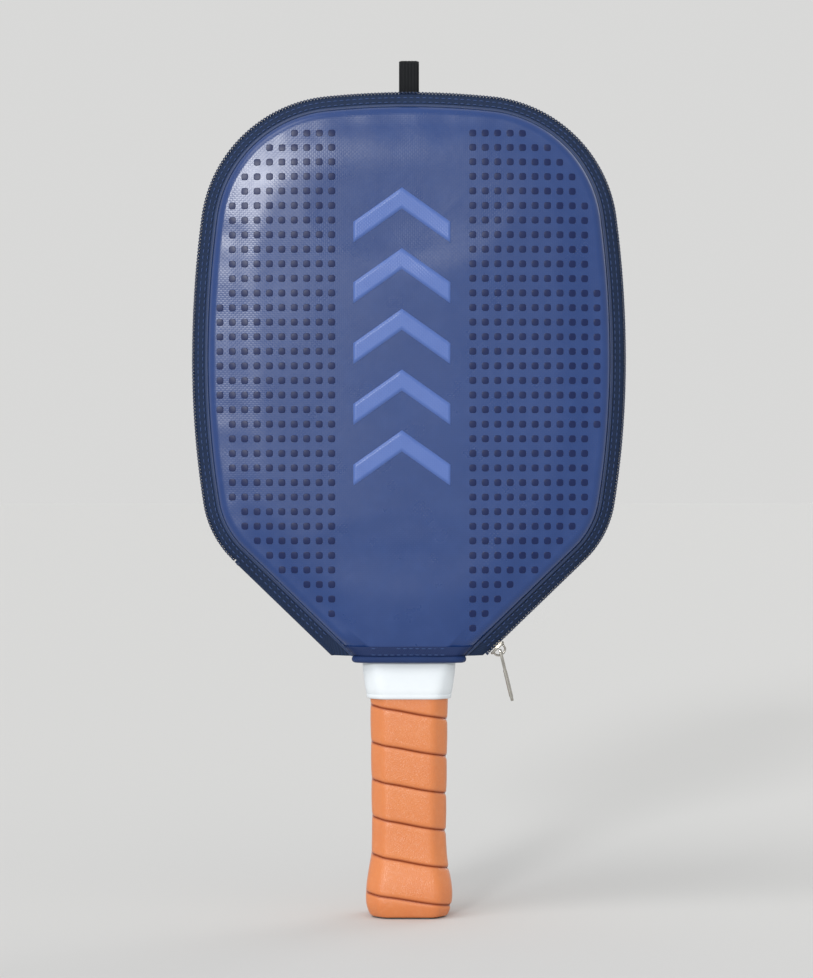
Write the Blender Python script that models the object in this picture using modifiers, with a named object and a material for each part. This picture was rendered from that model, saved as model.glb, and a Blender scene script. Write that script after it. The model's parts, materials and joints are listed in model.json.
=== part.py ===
"""Pickleball paddle in its zip-up padded cover, hanging by the cover's loop.

Frame: metres, +Z up, the front of the cover faces -Y, +X to its right.
The origin is at the bottom centre of the grip's butt end.

The cover is two padded shells (front and back) joined by a zipper that runs from the lower
right corner of the mouth, up the right side, over the top and down the left side. The straight
lower left edge is sewn: it is the fabric hinge on which the front shell opens.
A place in the cover's section is (inset, height): inset is the distance in from the cover's
outline, and height is the distance from the zipper's plane (y = 0) towards the front or back.
"""
import math

import bmesh
import bpy
from mathutils import Matrix, Vector

MM = 0.001

# Cover outline: one half, from the top centre clockwise, as (radius, turn in degrees),
# then a straight slant down to the mouth.
COVER_TOP = 411 * MM
COVER_ARCS = [(400 * MM, 6.0), (70 * MM, 76.5), (546 * MM, 7.5), (460 * MM, 9.0), (50 * MM, 37.0)]
MOUTH_Z = 129.5 * MM

# Paddle outline: the same run of arcs, set in from the cover, then a straight shoulder and a
# hollow fillet down to the neck.
PADDLE_INSET = 7 * MM
PADDLE_TOP = COVER_TOP - PADDLE_INSET
SHOULDER_TURN = 47.0
NECK_FILLET = 14 * MM
NECK_HALF_WIDTH = 18.5 * MM
NECK_Z = 130 * MM

# Cover section, as (inset, height).
PANEL_HEIGHT = 14 * MM
PANEL_FLAT_INSET = 16 * MM
PANEL_PROFILE = [(9.0 * MM, 8.6 * MM), (8.9 * MM, 10.0 * MM), (10.2 * MM, 12.2 * MM),
                 (12.5 * MM, 13.5 * MM), (PANEL_FLAT_INSET, PANEL_HEIGHT)]
SKIN = 1.2 * MM
PIPING_CENTRE = (8.2 * MM, 7.2 * MM)
PIPING_RADIUS = 1.1 * MM
TAPE_INNER = (7.0 * MM, 5.6 * MM)
TAPE_OUTER = (2.2 * MM, 1.75 * MM)
TAPE_THICKNESS = 0.7 * MM
COIL_CENTRE = (0.8 * MM, 1.3 * MM)
COIL_RADIUS = 0.8 * MM
PAD_HEIGHTS = (9.6 * MM, 12.5 * MM)
LINING_HEIGHTS = (8.8 * MM, 9.3 * MM)
PAD_MOUTH_Z = 137 * MM
HEM_RADIUS = 1.6 * MM
HEM_INSET = 0.48 * MM
HEM_DROP = 0.6 * MM
GAP = 0.3 * MM

# Zipper hardware, placed along the straight slants by distance from the mouth corner.
COIL_START = 1.5 * MM
ZIP_STOP_LENGTH = 1.2 * MM
SLIDER_CENTRE = 6.2 * MM
SLIDER_LENGTH = 9 * MM
OUTER_WING_HALF = 3.0 * MM
OUTER_WING_THICKNESS = 1.2 * MM
OUTER_WING_CHAMFER = (0.6 * MM, 0.5 * MM)
INNER_WING_HALF = 1.2 * MM
INNER_WING_THICKNESS = 1.0 * MM
POST_HALF = 0.3 * MM
BRIDGE_RADIUS = 0.55 * MM
BRIDGE_TOP = 5.0 * MM
BRIDGE_FOOT_HALF = 3.1 * MM
BRIDGE_TOP_HALF = 1.9 * MM
BRIDGE_SHOULDER = 1.4 * MM
HINGE_START = 0.5 * MM
HINGE_END = 64 * MM
PULL_LENGTH = 27 * MM
PULL_WIDTH = 5.6 * MM
PULL_THICKNESS = 1.5 * MM
PULL_CHAMFER = 1.2 * MM
PULL_PIVOT_OUT = 2.95 * MM
PULL_LEAN = math.radians(13.5)
SLOT_HALF_WIDTH = 1.3 * MM
SLOT_LENGTH = 4.2 * MM

# Hanging loop of webbing, sewn on the back half.
LOOP_TOP = 427.5 * MM
LOOP_WIDTH = 10 * MM
LOOP_THICKNESS = 1.6 * MM
LOOP_RADIUS = 3.2 * MM
LOOP_Y = 6.6 * MM
LOOP_FRONT_SEWN = 2.4 * MM
LOOP_BACK_SEWN = 8.5 * MM

# Paddle section, as half thicknesses.
CORE_HALF = 6.5 * MM
TANG_HALF = 6.0 * MM
FACE_HALF = 7.2 * MM
FACE_THICKNESS = 0.4 * MM
GUARD_NOSE = 5.6 * MM
GUARD_LAP = 10 * MM
GUARD_PROFILE = [(0, 2.2 * MM), (0.9 * MM, 4.4 * MM), (2.6 * MM, 6.4 * MM), (5.0 * MM, 8.0 * MM),
                 (GUARD_LAP, 8.4 * MM)]
CELL_PITCH = 24 * MM
CELL_WALL = 3 * MM

# Handle: half width of the wrapped grip at each height, as (z, half width).
GRIP_PROFILE = [(1.0 * MM, 19.0 * MM), (4.0 * MM, 20.6 * MM), (9.0 * MM, 21.5 * MM),
                (15.0 * MM, 21.4 * MM), (22.0 * MM, 20.0 * MM), (30.0 * MM, 18.5 * MM),
                (40.0 * MM, 18.2 * MM), (110.0 * MM, 19.2 * MM)]
GRIP_WAIST_Z = 40 * MM
GRIP_FLATNESS = 3.6 * MM
GRIP_CHAMFER = 6.5 * MM
WRAP_THICKNESS = 1.7 * MM
WRAP_PITCH = 18.5 * MM
WRAP_FIRST_SEAM = 9.2 * MM
WRAP_BOTTOM = 1.3 * MM
WRAP_TOP = 110 * MM
CUSHION_THICKNESS = 1.2 * MM
CAP_TOP = 36 * MM
CAP_FLOOR = 5 * MM
CAP_LIP_Z = 30 * MM
CAP_EASE = 1.0 * MM
DISC_THICKNESS = 0.7 * MM
DISC_MARGIN = 0.5 * MM
DISC_EASE = 0.4 * MM
TANG_CHAMFER = 1.0 * MM
PALLET_CHAMFER = 4.5 * MM
# How far the pallets' faces drop towards the neck, as (z, drop).
PALLET_TAPER = [(120 * MM, 2.0 * MM), (129 * MM, 4.2 * MM)]

# Collar outside, as (z, half width, half depth), and its bore's neck, as (z, half depth, chamfer).
COLLAR_BOTTOM = 108.5 * MM
COLLAR_TOP = 129.7 * MM
COLLAR_PROFILE = [(COLLAR_BOTTOM, 20.9 * MM, 17.0 * MM), (109.8 * MM, 21.2 * MM, 16.9 * MM),
                  (118.0 * MM, 22.4 * MM, 14.9 * MM), (125.0 * MM, 23.2 * MM, 11.9 * MM),
                  (COLLAR_TOP, 23.5 * MM, 10.4 * MM)]
COLLAR_BORE = [(118.0 * MM, 12.9 * MM, 4.4 * MM), (125.0 * MM, 10.4 * MM, 3.0 * MM),
               (COLLAR_TOP, 9.0 * MM, 3.0 * MM)]
COLLAR_CHAMFER_SHARE = 0.45

STEPS_PER_DEGREE = 0.13
SMOOTH_ANGLE = math.radians(35)

COLLECTION_NAME = "pickleball_paddle"

FRONT = -1
BACK = 1


# ---------------------------------------------------------------- scene, materials, objects

def clear_scene():
    for old in list(bpy.data.objects):
        bpy.data.objects.remove(old, do_unlink=True)
    if COLLECTION_NAME in bpy.data.collections:
        bpy.data.collections.remove(bpy.data.collections[COLLECTION_NAME])


def make_collection(name):
    collection = bpy.data.collections.new(name)
    bpy.context.scene.collection.children.link(collection)
    return collection


def make_material(name, colour, roughness, metallic=0.0):
    material = bpy.data.materials.new(name)
    material.use_nodes = True
    shader = material.node_tree.nodes["Principled BSDF"]
    shader.inputs["Base Color"].default_value = (*colour, 1.0)
    shader.inputs["Roughness"].default_value = roughness
    shader.inputs["Metallic"].default_value = metallic
    return material


def add_object(name, data, material):
    thing = bpy.data.objects.new(name, data)
    data.materials.append(material)
    PARTS.objects.link(thing)
    return thing


def add_empty(name, place):
    empty = bpy.data.objects.new(name, None)
    empty.location = place
    empty.empty_display_size = 20 * MM
    PARTS.objects.link(empty)
    return empty


def hang_on(empty, things):
    """Parents pieces to an empty on their joint's axis and leaves them where they are."""
    for thing in things:
        thing.parent = empty
        thing.matrix_parent_inverse = Matrix.Translation(empty.location).inverted()


def mesh_from(name, vertices, faces):
    """A mesh from a loft's vertices and faces, with its faces pointing out."""
    shape = bmesh.new()
    points = [shape.verts.new(vertex) for vertex in vertices]
    for face in faces:
        shape.faces.new([points[index] for index in face])
    bmesh.ops.recalc_face_normals(shape, faces=shape.faces)
    mesh = bpy.data.meshes.new(name)
    shape.to_mesh(mesh)
    shape.free()
    return mesh


def smooth_object(name, mesh, material):
    mesh.shade_smooth()
    mesh.set_sharp_from_angle(angle=SMOOTH_ANGLE)
    return add_object(name, mesh, material)


def loft(name, sections, material):
    """A closed solid through sections with equal numbers of points, capped at both ends."""
    count = len(sections[0])
    vertices = [point for section in sections for point in section]
    faces = [list(range(count)), [len(vertices) - count + k for k in range(count)]]
    for row in range(len(sections) - 1):
        for k in range(count):
            a = row * count + k
            b = row * count + (k + 1) % count
            faces.append([a, b, b + count, a + count])
    return smooth_object(name, mesh_from(name, vertices, faces), material)


def sleeve(name, outer_sections, inner_sections, material):
    """A closed tube with the given outer and inner sections, one pair for each level."""
    count = len(outer_sections[0])
    levels = outer_sections + inner_sections[::-1]
    vertices = [point for section in levels for point in section]
    faces = []
    for row in range(len(levels)):
        below = row * count
        above = (row + 1) % len(levels) * count
        for k in range(count):
            nxt = (k + 1) % count
            faces.append([below + k, below + nxt, above + nxt, above + k])
    return smooth_object(name, mesh_from(name, vertices, faces), material)


# ---------------------------------------------------------------- outlines

class Station:
    """A place on an outline in the XZ plane, with its unit inward normal."""

    def __init__(self, x, z, heading):
        self.x = x
        self.z = z
        self.normal = (-math.sin(heading), -math.cos(heading))

    def mirrored(self):
        twin = Station(-self.x, self.z, 0.0)
        twin.normal = (-self.normal[0], self.normal[1])
        return twin

    def inset(self, distance, cut_z=None):
        """The point this far inside; with cut_z, slid along the outline onto that level."""
        x = self.x + self.normal[0] * distance
        z = self.z + self.normal[1] * distance
        if cut_z is None:
            return x, z
        tangent = (-self.normal[1], self.normal[0])
        run = (cut_z - z) / tangent[1]
        return x + tangent[0] * run, cut_z


def walk_arcs(start_z, arcs):
    """Stations along a chain of tangent arcs that starts at the top centre, heading to +X."""
    x, z, heading = 0.0, start_z, 0.0
    stations = [Station(x, z, heading)]
    for radius, turn in arcs:
        steps = max(2, math.ceil(abs(turn) * STEPS_PER_DEGREE))
        step = math.radians(turn) / steps
        bend = math.copysign(radius, turn)
        for _ in range(steps):
            x += bend * (math.sin(heading + step) - math.sin(heading))
            z += bend * (math.cos(heading + step) - math.cos(heading))
            heading += step
            stations.append(Station(x, z, heading))
    return stations, heading


def cover_half():
    """Right half of the cover's outline, from the top centre to the mouth corner."""
    stations, heading = walk_arcs(COVER_TOP, COVER_ARCS)
    last = stations[-1]
    run = (last.z - MOUTH_Z) / math.sin(heading)
    stations.append(Station(last.x + run * math.cos(heading), MOUTH_Z, heading))
    return stations


def paddle_half():
    """Right half of the paddle's outline, from the top centre to the neck."""
    arcs = [(radius - PADDLE_INSET, turn) for radius, turn in COVER_ARCS[:-1]]
    arcs.append((COVER_ARCS[-1][0] - PADDLE_INSET, SHOULDER_TURN))
    stations, heading = walk_arcs(PADDLE_TOP, arcs)
    last = stations[-1]
    back_turn = heading - math.pi / 2
    tangent_run = NECK_FILLET * math.tan(back_turn / 2)
    run = (last.x - NECK_HALF_WIDTH) / -math.cos(heading) - tangent_run
    x = last.x + run * math.cos(heading)
    z = last.z - run * math.sin(heading)
    stations.append(Station(x, z, heading))
    steps = 5
    for _ in range(steps):
        turned = heading - back_turn / steps
        x -= NECK_FILLET * (math.sin(turned) - math.sin(heading))
        z -= NECK_FILLET * (math.cos(turned) - math.cos(heading))
        heading = turned
        stations.append(Station(x, z, heading))
    stations[-1].z = NECK_Z
    return stations


def whole_path(half):
    """Both halves as one open path, from the lower right end over the top to the lower left."""
    return half[::-1] + [station.mirrored() for station in half[1:]]


def slid_station(corner, distance):
    """A place on the straight slant, this far up from the mouth corner."""
    tangent = (-corner.normal[1], corner.normal[0])
    up = 1 if tangent[1] > 0 else -1
    place = Station(corner.x + up * tangent[0] * distance, corner.z + up * tangent[1] * distance, 0)
    place.normal = corner.normal
    return place


COVER = whole_path(cover_half())
PADDLE = whole_path(paddle_half())
RIGHT_CORNER = COVER[0]
LEFT_CORNER = COVER[-1]


# ---------------------------------------------------------------- cover shells

def swept(name, path, section, side, material, cut_z=None):
    """A closed section of (inset, height) points carried along a path, capped at its ends."""
    sections = []
    for index, station in enumerate(path):
        cut = cut_z if index in (0, len(path) - 1) else None
        row = []
        for inset, height in section:
            x, z = station.inset(inset, cut)
            row.append((x, side * height, z))
        sections.append(row)
    return loft(name, sections, material)


def round_section(centre, radius, sides=6):
    return [(centre[0] + radius * math.cos(math.tau * k / sides),
             centre[1] + radius * math.sin(math.tau * k / sides)) for k in range(sides)]


def strip_section(start, end, thickness):
    """A thin strip's section from start to end."""
    along = Vector((end[0] - start[0], end[1] - start[1])).normalized()
    across = Vector((-along.y, along.x)) * thickness / 2
    start, end = Vector(start), Vector(end)
    return [tuple(start + across), tuple(start - across), tuple(end - across), tuple(end + across)]


def panel_shell(name, side, material):
    """The moulded outer skin: rings of the rounded edge round one flat face, made a shell."""
    shape = bmesh.new()
    rings = []
    for inset, height in PANEL_PROFILE:
        ring = []
        for index, station in enumerate(COVER):
            cut = MOUTH_Z if index in (0, len(COVER) - 1) else None
            x, z = station.inset(inset, cut)
            ring.append(shape.verts.new((x, side * height, z)))
        rings.append(ring)
    for lower, upper in zip(rings, rings[1:]):
        for k in range(len(lower) - 1):
            shape.faces.new([lower[k], lower[k + 1], upper[k + 1], upper[k]])
    flat = shape.faces.new(rings[-1])
    flat.normal_update()
    bmesh.ops.recalc_face_normals(shape, faces=shape.faces)
    if flat.normal.y * side < 0:
        bmesh.ops.reverse_faces(shape, faces=shape.faces)
    mesh = bpy.data.meshes.new(name)
    shape.to_mesh(mesh)
    shape.free()
    shell = smooth_object(name, mesh, material)
    solidify = shell.modifiers.new("Skin", "SOLIDIFY")
    solidify.thickness = SKIN
    solidify.offset = -1
    solidify.use_even_offset = True


def plate(name, outline, heights, side, material, holes=()):
    """A flat plate in the XZ plane between two heights: a filled 2D curve, extruded."""
    curve = bpy.data.curves.new(name, "CURVE")
    curve.dimensions = "2D"
    curve.fill_mode = "BOTH"
    curve.extrude = abs(heights[1] - heights[0]) / 2
    for points in [outline, *holes]:
        spline = curve.splines.new("POLY")
        spline.points.add(len(points) - 1)
        for point, (x, z) in zip(spline.points, points):
            point.co = (x, z, 0, 1)
        spline.use_cyclic_u = True
    thing = add_object(name, curve, material)
    thing.rotation_euler = (math.pi / 2, 0, 0)
    thing.location = (0, side * (heights[0] + heights[1]) / 2, 0)
    return thing


def inset_outline(path, inset, floor_z):
    """A path's inset outline as a closed list of points, ended on the level floor_z."""
    points = []
    for index, station in enumerate(path):
        cut = floor_z if index in (0, len(path) - 1) else None
        points.append(station.inset(inset, cut))
    return points


def mouth_hem(name, side, material):
    """The rolled edge under the panel's mouth: a tube along its arched rim."""
    shrink = RIGHT_CORNER.inset(1.0, MOUTH_Z)[0] - RIGHT_CORNER.x
    arch = [(RIGHT_CORNER.x + shrink * (inset + HEM_INSET), height - HEM_DROP)
            for inset, height in PANEL_PROFILE]
    points = arch + [(-x, height) for x, height in arch[::-1]]
    curve = bpy.data.curves.new(name, "CURVE")
    curve.dimensions = "3D"
    curve.bevel_depth = HEM_RADIUS
    curve.bevel_resolution = 2
    curve.use_fill_caps = True
    spline = curve.splines.new("POLY")
    spline.points.add(len(points) - 1)
    for point, (x, height) in zip(spline.points, points):
        point.co = (x, side * height, MOUTH_Z - GAP - HEM_RADIUS, 1)
    add_object(name, curve, material)


def build_cover_half(label, side):
    """Skin, piping, zipper tape, zipper coil, foam, lining and hem of one shell."""
    panel_shell(f"cover_{label}_panel", side, FABRIC_BLUE)
    piping = round_section(PIPING_CENTRE, PIPING_RADIUS)
    swept(f"{label}_piping", COVER, piping, side, PIPING_BLUE, MOUTH_Z)
    tape = strip_section(TAPE_INNER, TAPE_OUTER, TAPE_THICKNESS)
    swept(f"{label}_zipper_tape", COVER, tape, side, TAPE_NAVY, MOUTH_Z)
    start = slid_station(RIGHT_CORNER, COIL_START)
    end = slid_station(LEFT_CORNER, HINGE_END + GAP + ZIP_STOP_LENGTH + GAP)
    coil_path = [start] + COVER[1:-1] + [end]
    coil = round_section(COIL_CENTRE, COIL_RADIUS)
    swept(f"{label}_zipper_coil", coil_path, coil, side, COIL_NAVY)
    outline = inset_outline(COVER, PANEL_FLAT_INSET, PAD_MOUTH_Z)
    plate(f"{label}_foam_pad", outline, PAD_HEIGHTS, side, FOAM_GREY)
    plate(f"{label}_lining", outline, LINING_HEIGHTS, side, LINING_GREY)
    mouth_hem(f"{label}_mouth_hem", side, PIPING_BLUE)


# ---------------------------------------------------------------- zipper hardware, loop

def slant_frame(corner, distance, inset):
    """A frame on a slant: X up along it, Z out of the cover; its origin at this inset."""
    place = slid_station(corner, distance)
    x, z = place.inset(inset)
    out = Vector((-corner.normal[0], 0, -corner.normal[1]))
    tangent = Vector((-corner.normal[1], 0, corner.normal[0]))
    along = tangent if tangent.z > 0 else -tangent
    across = out.cross(along)
    turn = Matrix((along, across, out)).transposed()
    return Matrix.Translation((x, 0, z)) @ turn.to_4x4()


def extruded_section(name, section, length, frame, material):
    """A closed section of (across, out) points, extruded along the slant about its frame."""
    ends = []
    for step in (-length / 2, length / 2):
        ends.append([frame @ Vector((step, across, out)) for across, out in section])
    return loft(name, ends, material)


def build_stop(name, corner, distance):
    """A crimped stop over the ends of both rows of zipper coil."""
    half_width = COIL_CENTRE[1] + COIL_RADIUS
    depth = 2 * COIL_RADIUS
    section = [(-half_width, 0), (half_width, 0), (half_width, depth), (-half_width, depth)]
    frame = slant_frame(corner, distance + ZIP_STOP_LENGTH / 2, depth)
    extruded_section(name, section, ZIP_STOP_LENGTH, frame, ZIP_METAL)


def build_slider():
    """Slider: an outer and an inner wing joined by the post that runs between the coils."""
    wing_low = GAP
    wing_high = GAP + OUTER_WING_THICKNESS
    inner_high = -(2 * COIL_RADIUS + GAP)
    inner_low = inner_high - INNER_WING_THICKNESS
    chamfer_across, chamfer_out = OUTER_WING_CHAMFER
    right = [(OUTER_WING_HALF - chamfer_across, wing_high),
             (OUTER_WING_HALF, wing_high - chamfer_out), (OUTER_WING_HALF, wing_low),
             (POST_HALF, wing_low), (POST_HALF, inner_high),
             (INNER_WING_HALF, inner_high), (INNER_WING_HALF, inner_low)]
    section = right + [(-across, out) for across, out in right[::-1]]
    frame = slant_frame(RIGHT_CORNER, SLIDER_CENTRE, 0)
    body = extruded_section("slider_body", section, SLIDER_LENGTH, frame, ZIP_METAL)

    wire = bpy.data.curves.new("slider_bridge", "CURVE")
    wire.dimensions = "3D"
    wire.bevel_depth = BRIDGE_RADIUS
    wire.bevel_resolution = 2
    wire.use_fill_caps = True
    legs = [(-BRIDGE_FOOT_HALF, wing_high + GAP), (-BRIDGE_FOOT_HALF, BRIDGE_TOP - BRIDGE_SHOULDER),
            (-BRIDGE_TOP_HALF, BRIDGE_TOP)]
    route = legs + [(-along, out) for along, out in legs[::-1]]
    spline = wire.splines.new("POLY")
    spline.points.add(len(route) - 1)
    for point, (along, out) in zip(spline.points, route):
        point.co = (*(frame @ Vector((along, 0, out))), 1)
    bridge = add_object("slider_bridge", wire, ZIP_METAL)

    slide_axis = add_empty("zipper_slide_axis", frame.translation)
    hang_on(slide_axis, [body, bridge])
    return slide_axis


def build_pull(slide_axis):
    """Pull tab: a flat bar with a slot at its top end for the bridge, hung on its pivot."""
    frame = slant_frame(RIGHT_CORNER, SLIDER_CENTRE, -PULL_PIVOT_OUT)
    pivot = add_empty("pull_swing_axis", frame.translation)
    pivot.rotation_euler = (0, -PULL_LEAN, 0)
    hang_on(slide_axis, [pivot])
    half = PULL_WIDTH / 2
    top = PULL_THICKNESS / 2
    bottom = top - PULL_LENGTH
    outline = [(half, top), (-half, top), (-half, bottom + PULL_CHAMFER),
               (-half + PULL_CHAMFER, bottom), (half - PULL_CHAMFER, bottom),
               (half, bottom + PULL_CHAMFER)]
    slot = [(SLOT_HALF_WIDTH, -top), (-SLOT_HALF_WIDTH, -top),
            (-SLOT_HALF_WIDTH, -top - SLOT_LENGTH), (SLOT_HALF_WIDTH, -top - SLOT_LENGTH)]
    tab = plate("pull_tab", outline, (-top, top), FRONT, ZIP_METAL, [slot])
    tab.parent = pivot
    tab.rotation_euler = (math.pi / 2, 0, math.pi / 2)


def build_loop():
    """Hanging loop: a strap of webbing folded over, its ends sewn to the back half's edge."""
    turn_z = LOOP_TOP - LOOP_THICKNESS / 2 - LOOP_RADIUS
    front_foot = COVER_TOP - LOOP_FRONT_SEWN
    back_foot = COVER_TOP - LOOP_BACK_SEWN
    steps = 10
    route = [(LOOP_Y - LOOP_RADIUS, front_foot)]
    for k in range(steps + 1):
        angle = math.pi * k / steps
        route.append((LOOP_Y - LOOP_RADIUS * math.cos(angle),
                      turn_z + LOOP_RADIUS * math.sin(angle)))
    route.append((LOOP_Y + LOOP_RADIUS, back_foot))
    sections = []
    for k, (y, z) in enumerate(route):
        before = Vector(route[max(k - 1, 0)])
        after = Vector(route[min(k + 1, len(route) - 1)])
        if k in (0, len(route) - 1):
            along = Vector((0, 1)) if k == 0 else Vector((0, -1))
        else:
            along = (after - before).normalized()
        side = Vector((-along.y, along.x)) * LOOP_THICKNESS / 2
        half = LOOP_WIDTH / 2
        sections.append([(-half, y + side.x, z + side.y), (half, y + side.x, z + side.y),
                         (half, y - side.x, z - side.y), (-half, y - side.x, z - side.y)])
    loft("hanging_loop", sections, WEBBING_BLACK)


def build_hinge():
    """The sewn fold along the lower left slant, on which the front shell turns."""
    path = [slid_station(LEFT_CORNER, HINGE_END), slid_station(LEFT_CORNER, HINGE_START)]
    section = round_section((COIL_RADIUS, 0), COIL_RADIUS)
    swept("hinge_fold", path, section, FRONT, TAPE_NAVY)


# ---------------------------------------------------------------- paddle blade

def build_blade():
    """Honeycomb core, two face sheets and the moulded edge guard."""
    inset = GUARD_NOSE + GAP
    outline = inset_outline(PADDLE, inset, NECK_Z)
    plate("honeycomb_core", outline, (-CORE_HALF, CORE_HALF), FRONT, CORE_WHITE,
          core_cells(outline))
    for label, side in (("front", FRONT), ("back", BACK)):
        heights = (FACE_HALF - FACE_THICKNESS, FACE_HALF)
        plate(f"face_sheet_{label}", outline, heights, side, FACE_CARBON)
    lip = FACE_HALF + GAP
    half = GUARD_PROFILE + [(GUARD_LAP, lip), (GUARD_NOSE, lip)]
    section = half + [(inset, -height) for inset, height in half[::-1]]
    swept("edge_guard", PADDLE, section, FRONT, GUARD_BLACK)


def core_cells(outline):
    """Six-sided through cells on a hexagonal grid, wherever a whole cell fits in the core."""
    radius = (CELL_PITCH - CELL_WALL) / math.sqrt(3)
    row_step = CELL_PITCH * math.sqrt(3) / 2
    top = max(z for _, z in outline)
    right = max(x for x, _ in outline)
    cells = []
    row = 0
    z = top - CELL_PITCH / 2 - CELL_WALL
    while z > NECK_Z:
        shift = (row % 2) * CELL_PITCH / 2
        columns = math.ceil(right / CELL_PITCH)
        for column in range(-columns, columns + 1):
            x = column * CELL_PITCH + shift
            if clear_inside(outline, x, z, radius + CELL_WALL):
                cells.append([(x + radius * math.sin(math.tau * k / 6),
                               z + radius * math.cos(math.tau * k / 6)) for k in range(6)])
        z -= row_step
        row += 1
    return cells


def clear_inside(outline, x, z, margin):
    """Whether (x, z) lies inside the outline and at least margin from its edge."""
    inside = False
    for (ax, az), (bx, bz) in zip(outline, outline[1:] + outline[:1]):
        edge = Vector((bx - ax, bz - az))
        to_point = Vector((x - ax, z - az))
        along = max(0.0, min(1.0, to_point.dot(edge) / edge.length_squared))
        if (to_point - edge * along).length < margin:
            return False
        if (az > z) != (bz > z) and x < ax + (z - az) * (bx - ax) / (bz - az):
            inside = not inside
    return inside


# ---------------------------------------------------------------- handle and grip

def octagon(half_width, half_depth, chamfer):
    """Sixteen points round an octagon, corners and edge middles, from the front middle
    counter-clockwise seen from above."""
    a, b, c = half_width, half_depth, chamfer
    corners = [(a - c, -b), (a, -b + c), (a, b - c), (a - c, b),
               (-a + c, b), (-a, b - c), (-a, -b + c), (-a + c, -b)]
    points = []
    for k, corner in enumerate(corners):
        previous = corners[k - 1]
        points.append(((previous[0] + corner[0]) / 2, (previous[1] + corner[1]) / 2))
        points.append(corner)
    return points


def grip_half_width(z):
    """The wrapped grip's half width at a height."""
    for (low, wide_low), (high, wide_high) in zip(GRIP_PROFILE, GRIP_PROFILE[1:]):
        if z <= high:
            share = max(0.0, (z - low) / (high - low))
            return wide_low + (wide_high - wide_low) * share
    return GRIP_PROFILE[-1][1]


def grip_ring(z, depth_in):
    """The octagon this far under the grip's surface, as (x, y, z) points."""
    half_width = grip_half_width(z) - depth_in
    chamfer = GRIP_CHAMFER - (2 - math.sqrt(2)) * depth_in
    return [(x, y, z) for x, y in octagon(half_width, half_width - GRIP_FLATNESS, chamfer)]


def ring_at(half_width, half_depth, chamfer, z):
    return [(x, y, z) for x, y in octagon(half_width, half_depth, chamfer)]


def build_wrap():
    """The grip tape: one ribbon wound as a helix, its edges meeting in a slanting seam."""
    around = 16
    rows = 4
    drop = WRAP_PITCH / around
    first = math.floor((WRAP_FIRST_SEAM - WRAP_TOP) / drop)
    last = math.ceil((WRAP_FIRST_SEAM + WRAP_PITCH - WRAP_BOTTOM) / drop)
    sections = []
    for step in range(first, last):
        low = WRAP_FIRST_SEAM - step * drop
        high = low + WRAP_PITCH - GAP
        low = min(max(low, WRAP_BOTTOM), WRAP_TOP)
        high = min(max(high, WRAP_BOTTOM), WRAP_TOP)
        if high - low < GAP:
            continue
        levels = [low + (high - low) * row / (rows - 1) for row in range(rows)]
        outside = [grip_ring(z, 0)[step % around] for z in levels]
        inside = [grip_ring(z, WRAP_THICKNESS)[step % around] for z in levels[::-1]]
        sections.append(outside + inside)
    loft("grip_wrap", sections, GRIP_TAN)


def build_handle():
    """Tang, two pallets, cushion sleeve, butt cap and its end disc."""
    tang_half = NECK_HALF_WIDTH - GUARD_NOSE - GAP
    tang_bottom = CAP_FLOOR + GAP
    tang = [ring_at(tang_half, TANG_HALF, TANG_CHAMFER, z) for z in (tang_bottom, NECK_Z - GAP)]
    loft("handle_tang", tang, CORE_WHITE)

    under = WRAP_THICKNESS + GAP
    pallet_in = under + CUSHION_THICKNESS + GAP
    waist_half = grip_half_width(GRIP_WAIST_Z) - pallet_in
    neck_half = grip_half_width(WRAP_TOP) - pallet_in
    pallet_levels = [(tang_bottom, waist_half, 0), (GRIP_WAIST_Z, waist_half, 0),
                     (WRAP_TOP, neck_half, 0)]
    pallet_levels += [(z, neck_half, drop) for z, drop in PALLET_TAPER]
    inner = TANG_HALF + GAP
    for label, side in (("front", FRONT), ("back", BACK)):
        sections = []
        for z, half, drop in pallet_levels:
            depth = half - GRIP_FLATNESS - drop
            chamfer = min(PALLET_CHAMFER, (depth - inner) * 0.9)
            sections.append([(-half, side * inner, z), (half, side * inner, z),
                             (half, side * (depth - chamfer), z),
                             (half - chamfer, side * depth, z),
                             (-half + chamfer, side * depth, z),
                             (-half, side * (depth - chamfer), z)])
        loft(f"handle_pallet_{label}", sections, PALLET_WOOD)

    cushion_levels = (CAP_TOP + GAP, GRIP_WAIST_Z, WRAP_TOP)
    sleeve("grip_cushion", [grip_ring(z, under) for z in cushion_levels],
           [grip_ring(z, under + CUSHION_THICKNESS) for z in cushion_levels], FOAM_GREY)

    flare = [WRAP_BOTTOM] + [z for z, _ in GRIP_PROFILE[1:] if z < CAP_LIP_Z]
    outside = [grip_ring(z, under + CAP_EASE) for z in flare]
    outside += [grip_ring(CAP_LIP_Z, under + GAP), grip_ring(CAP_TOP, under)]
    socket_half = waist_half + GAP
    socket = [ring_at(socket_half, socket_half - GRIP_FLATNESS, PALLET_CHAMFER, z)
              for z in (CAP_TOP, CAP_FLOOR)]
    loft("butt_cap", outside + socket, CAP_BLACK)

    disc = [[(x, y, z) for x, y, _ in grip_ring(WRAP_BOTTOM, under + DISC_MARGIN + ease)]
            for z, ease in ((0, DISC_EASE), (DISC_THICKNESS, 0))]
    loft("butt_disc", disc, CAP_BLACK)


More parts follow.
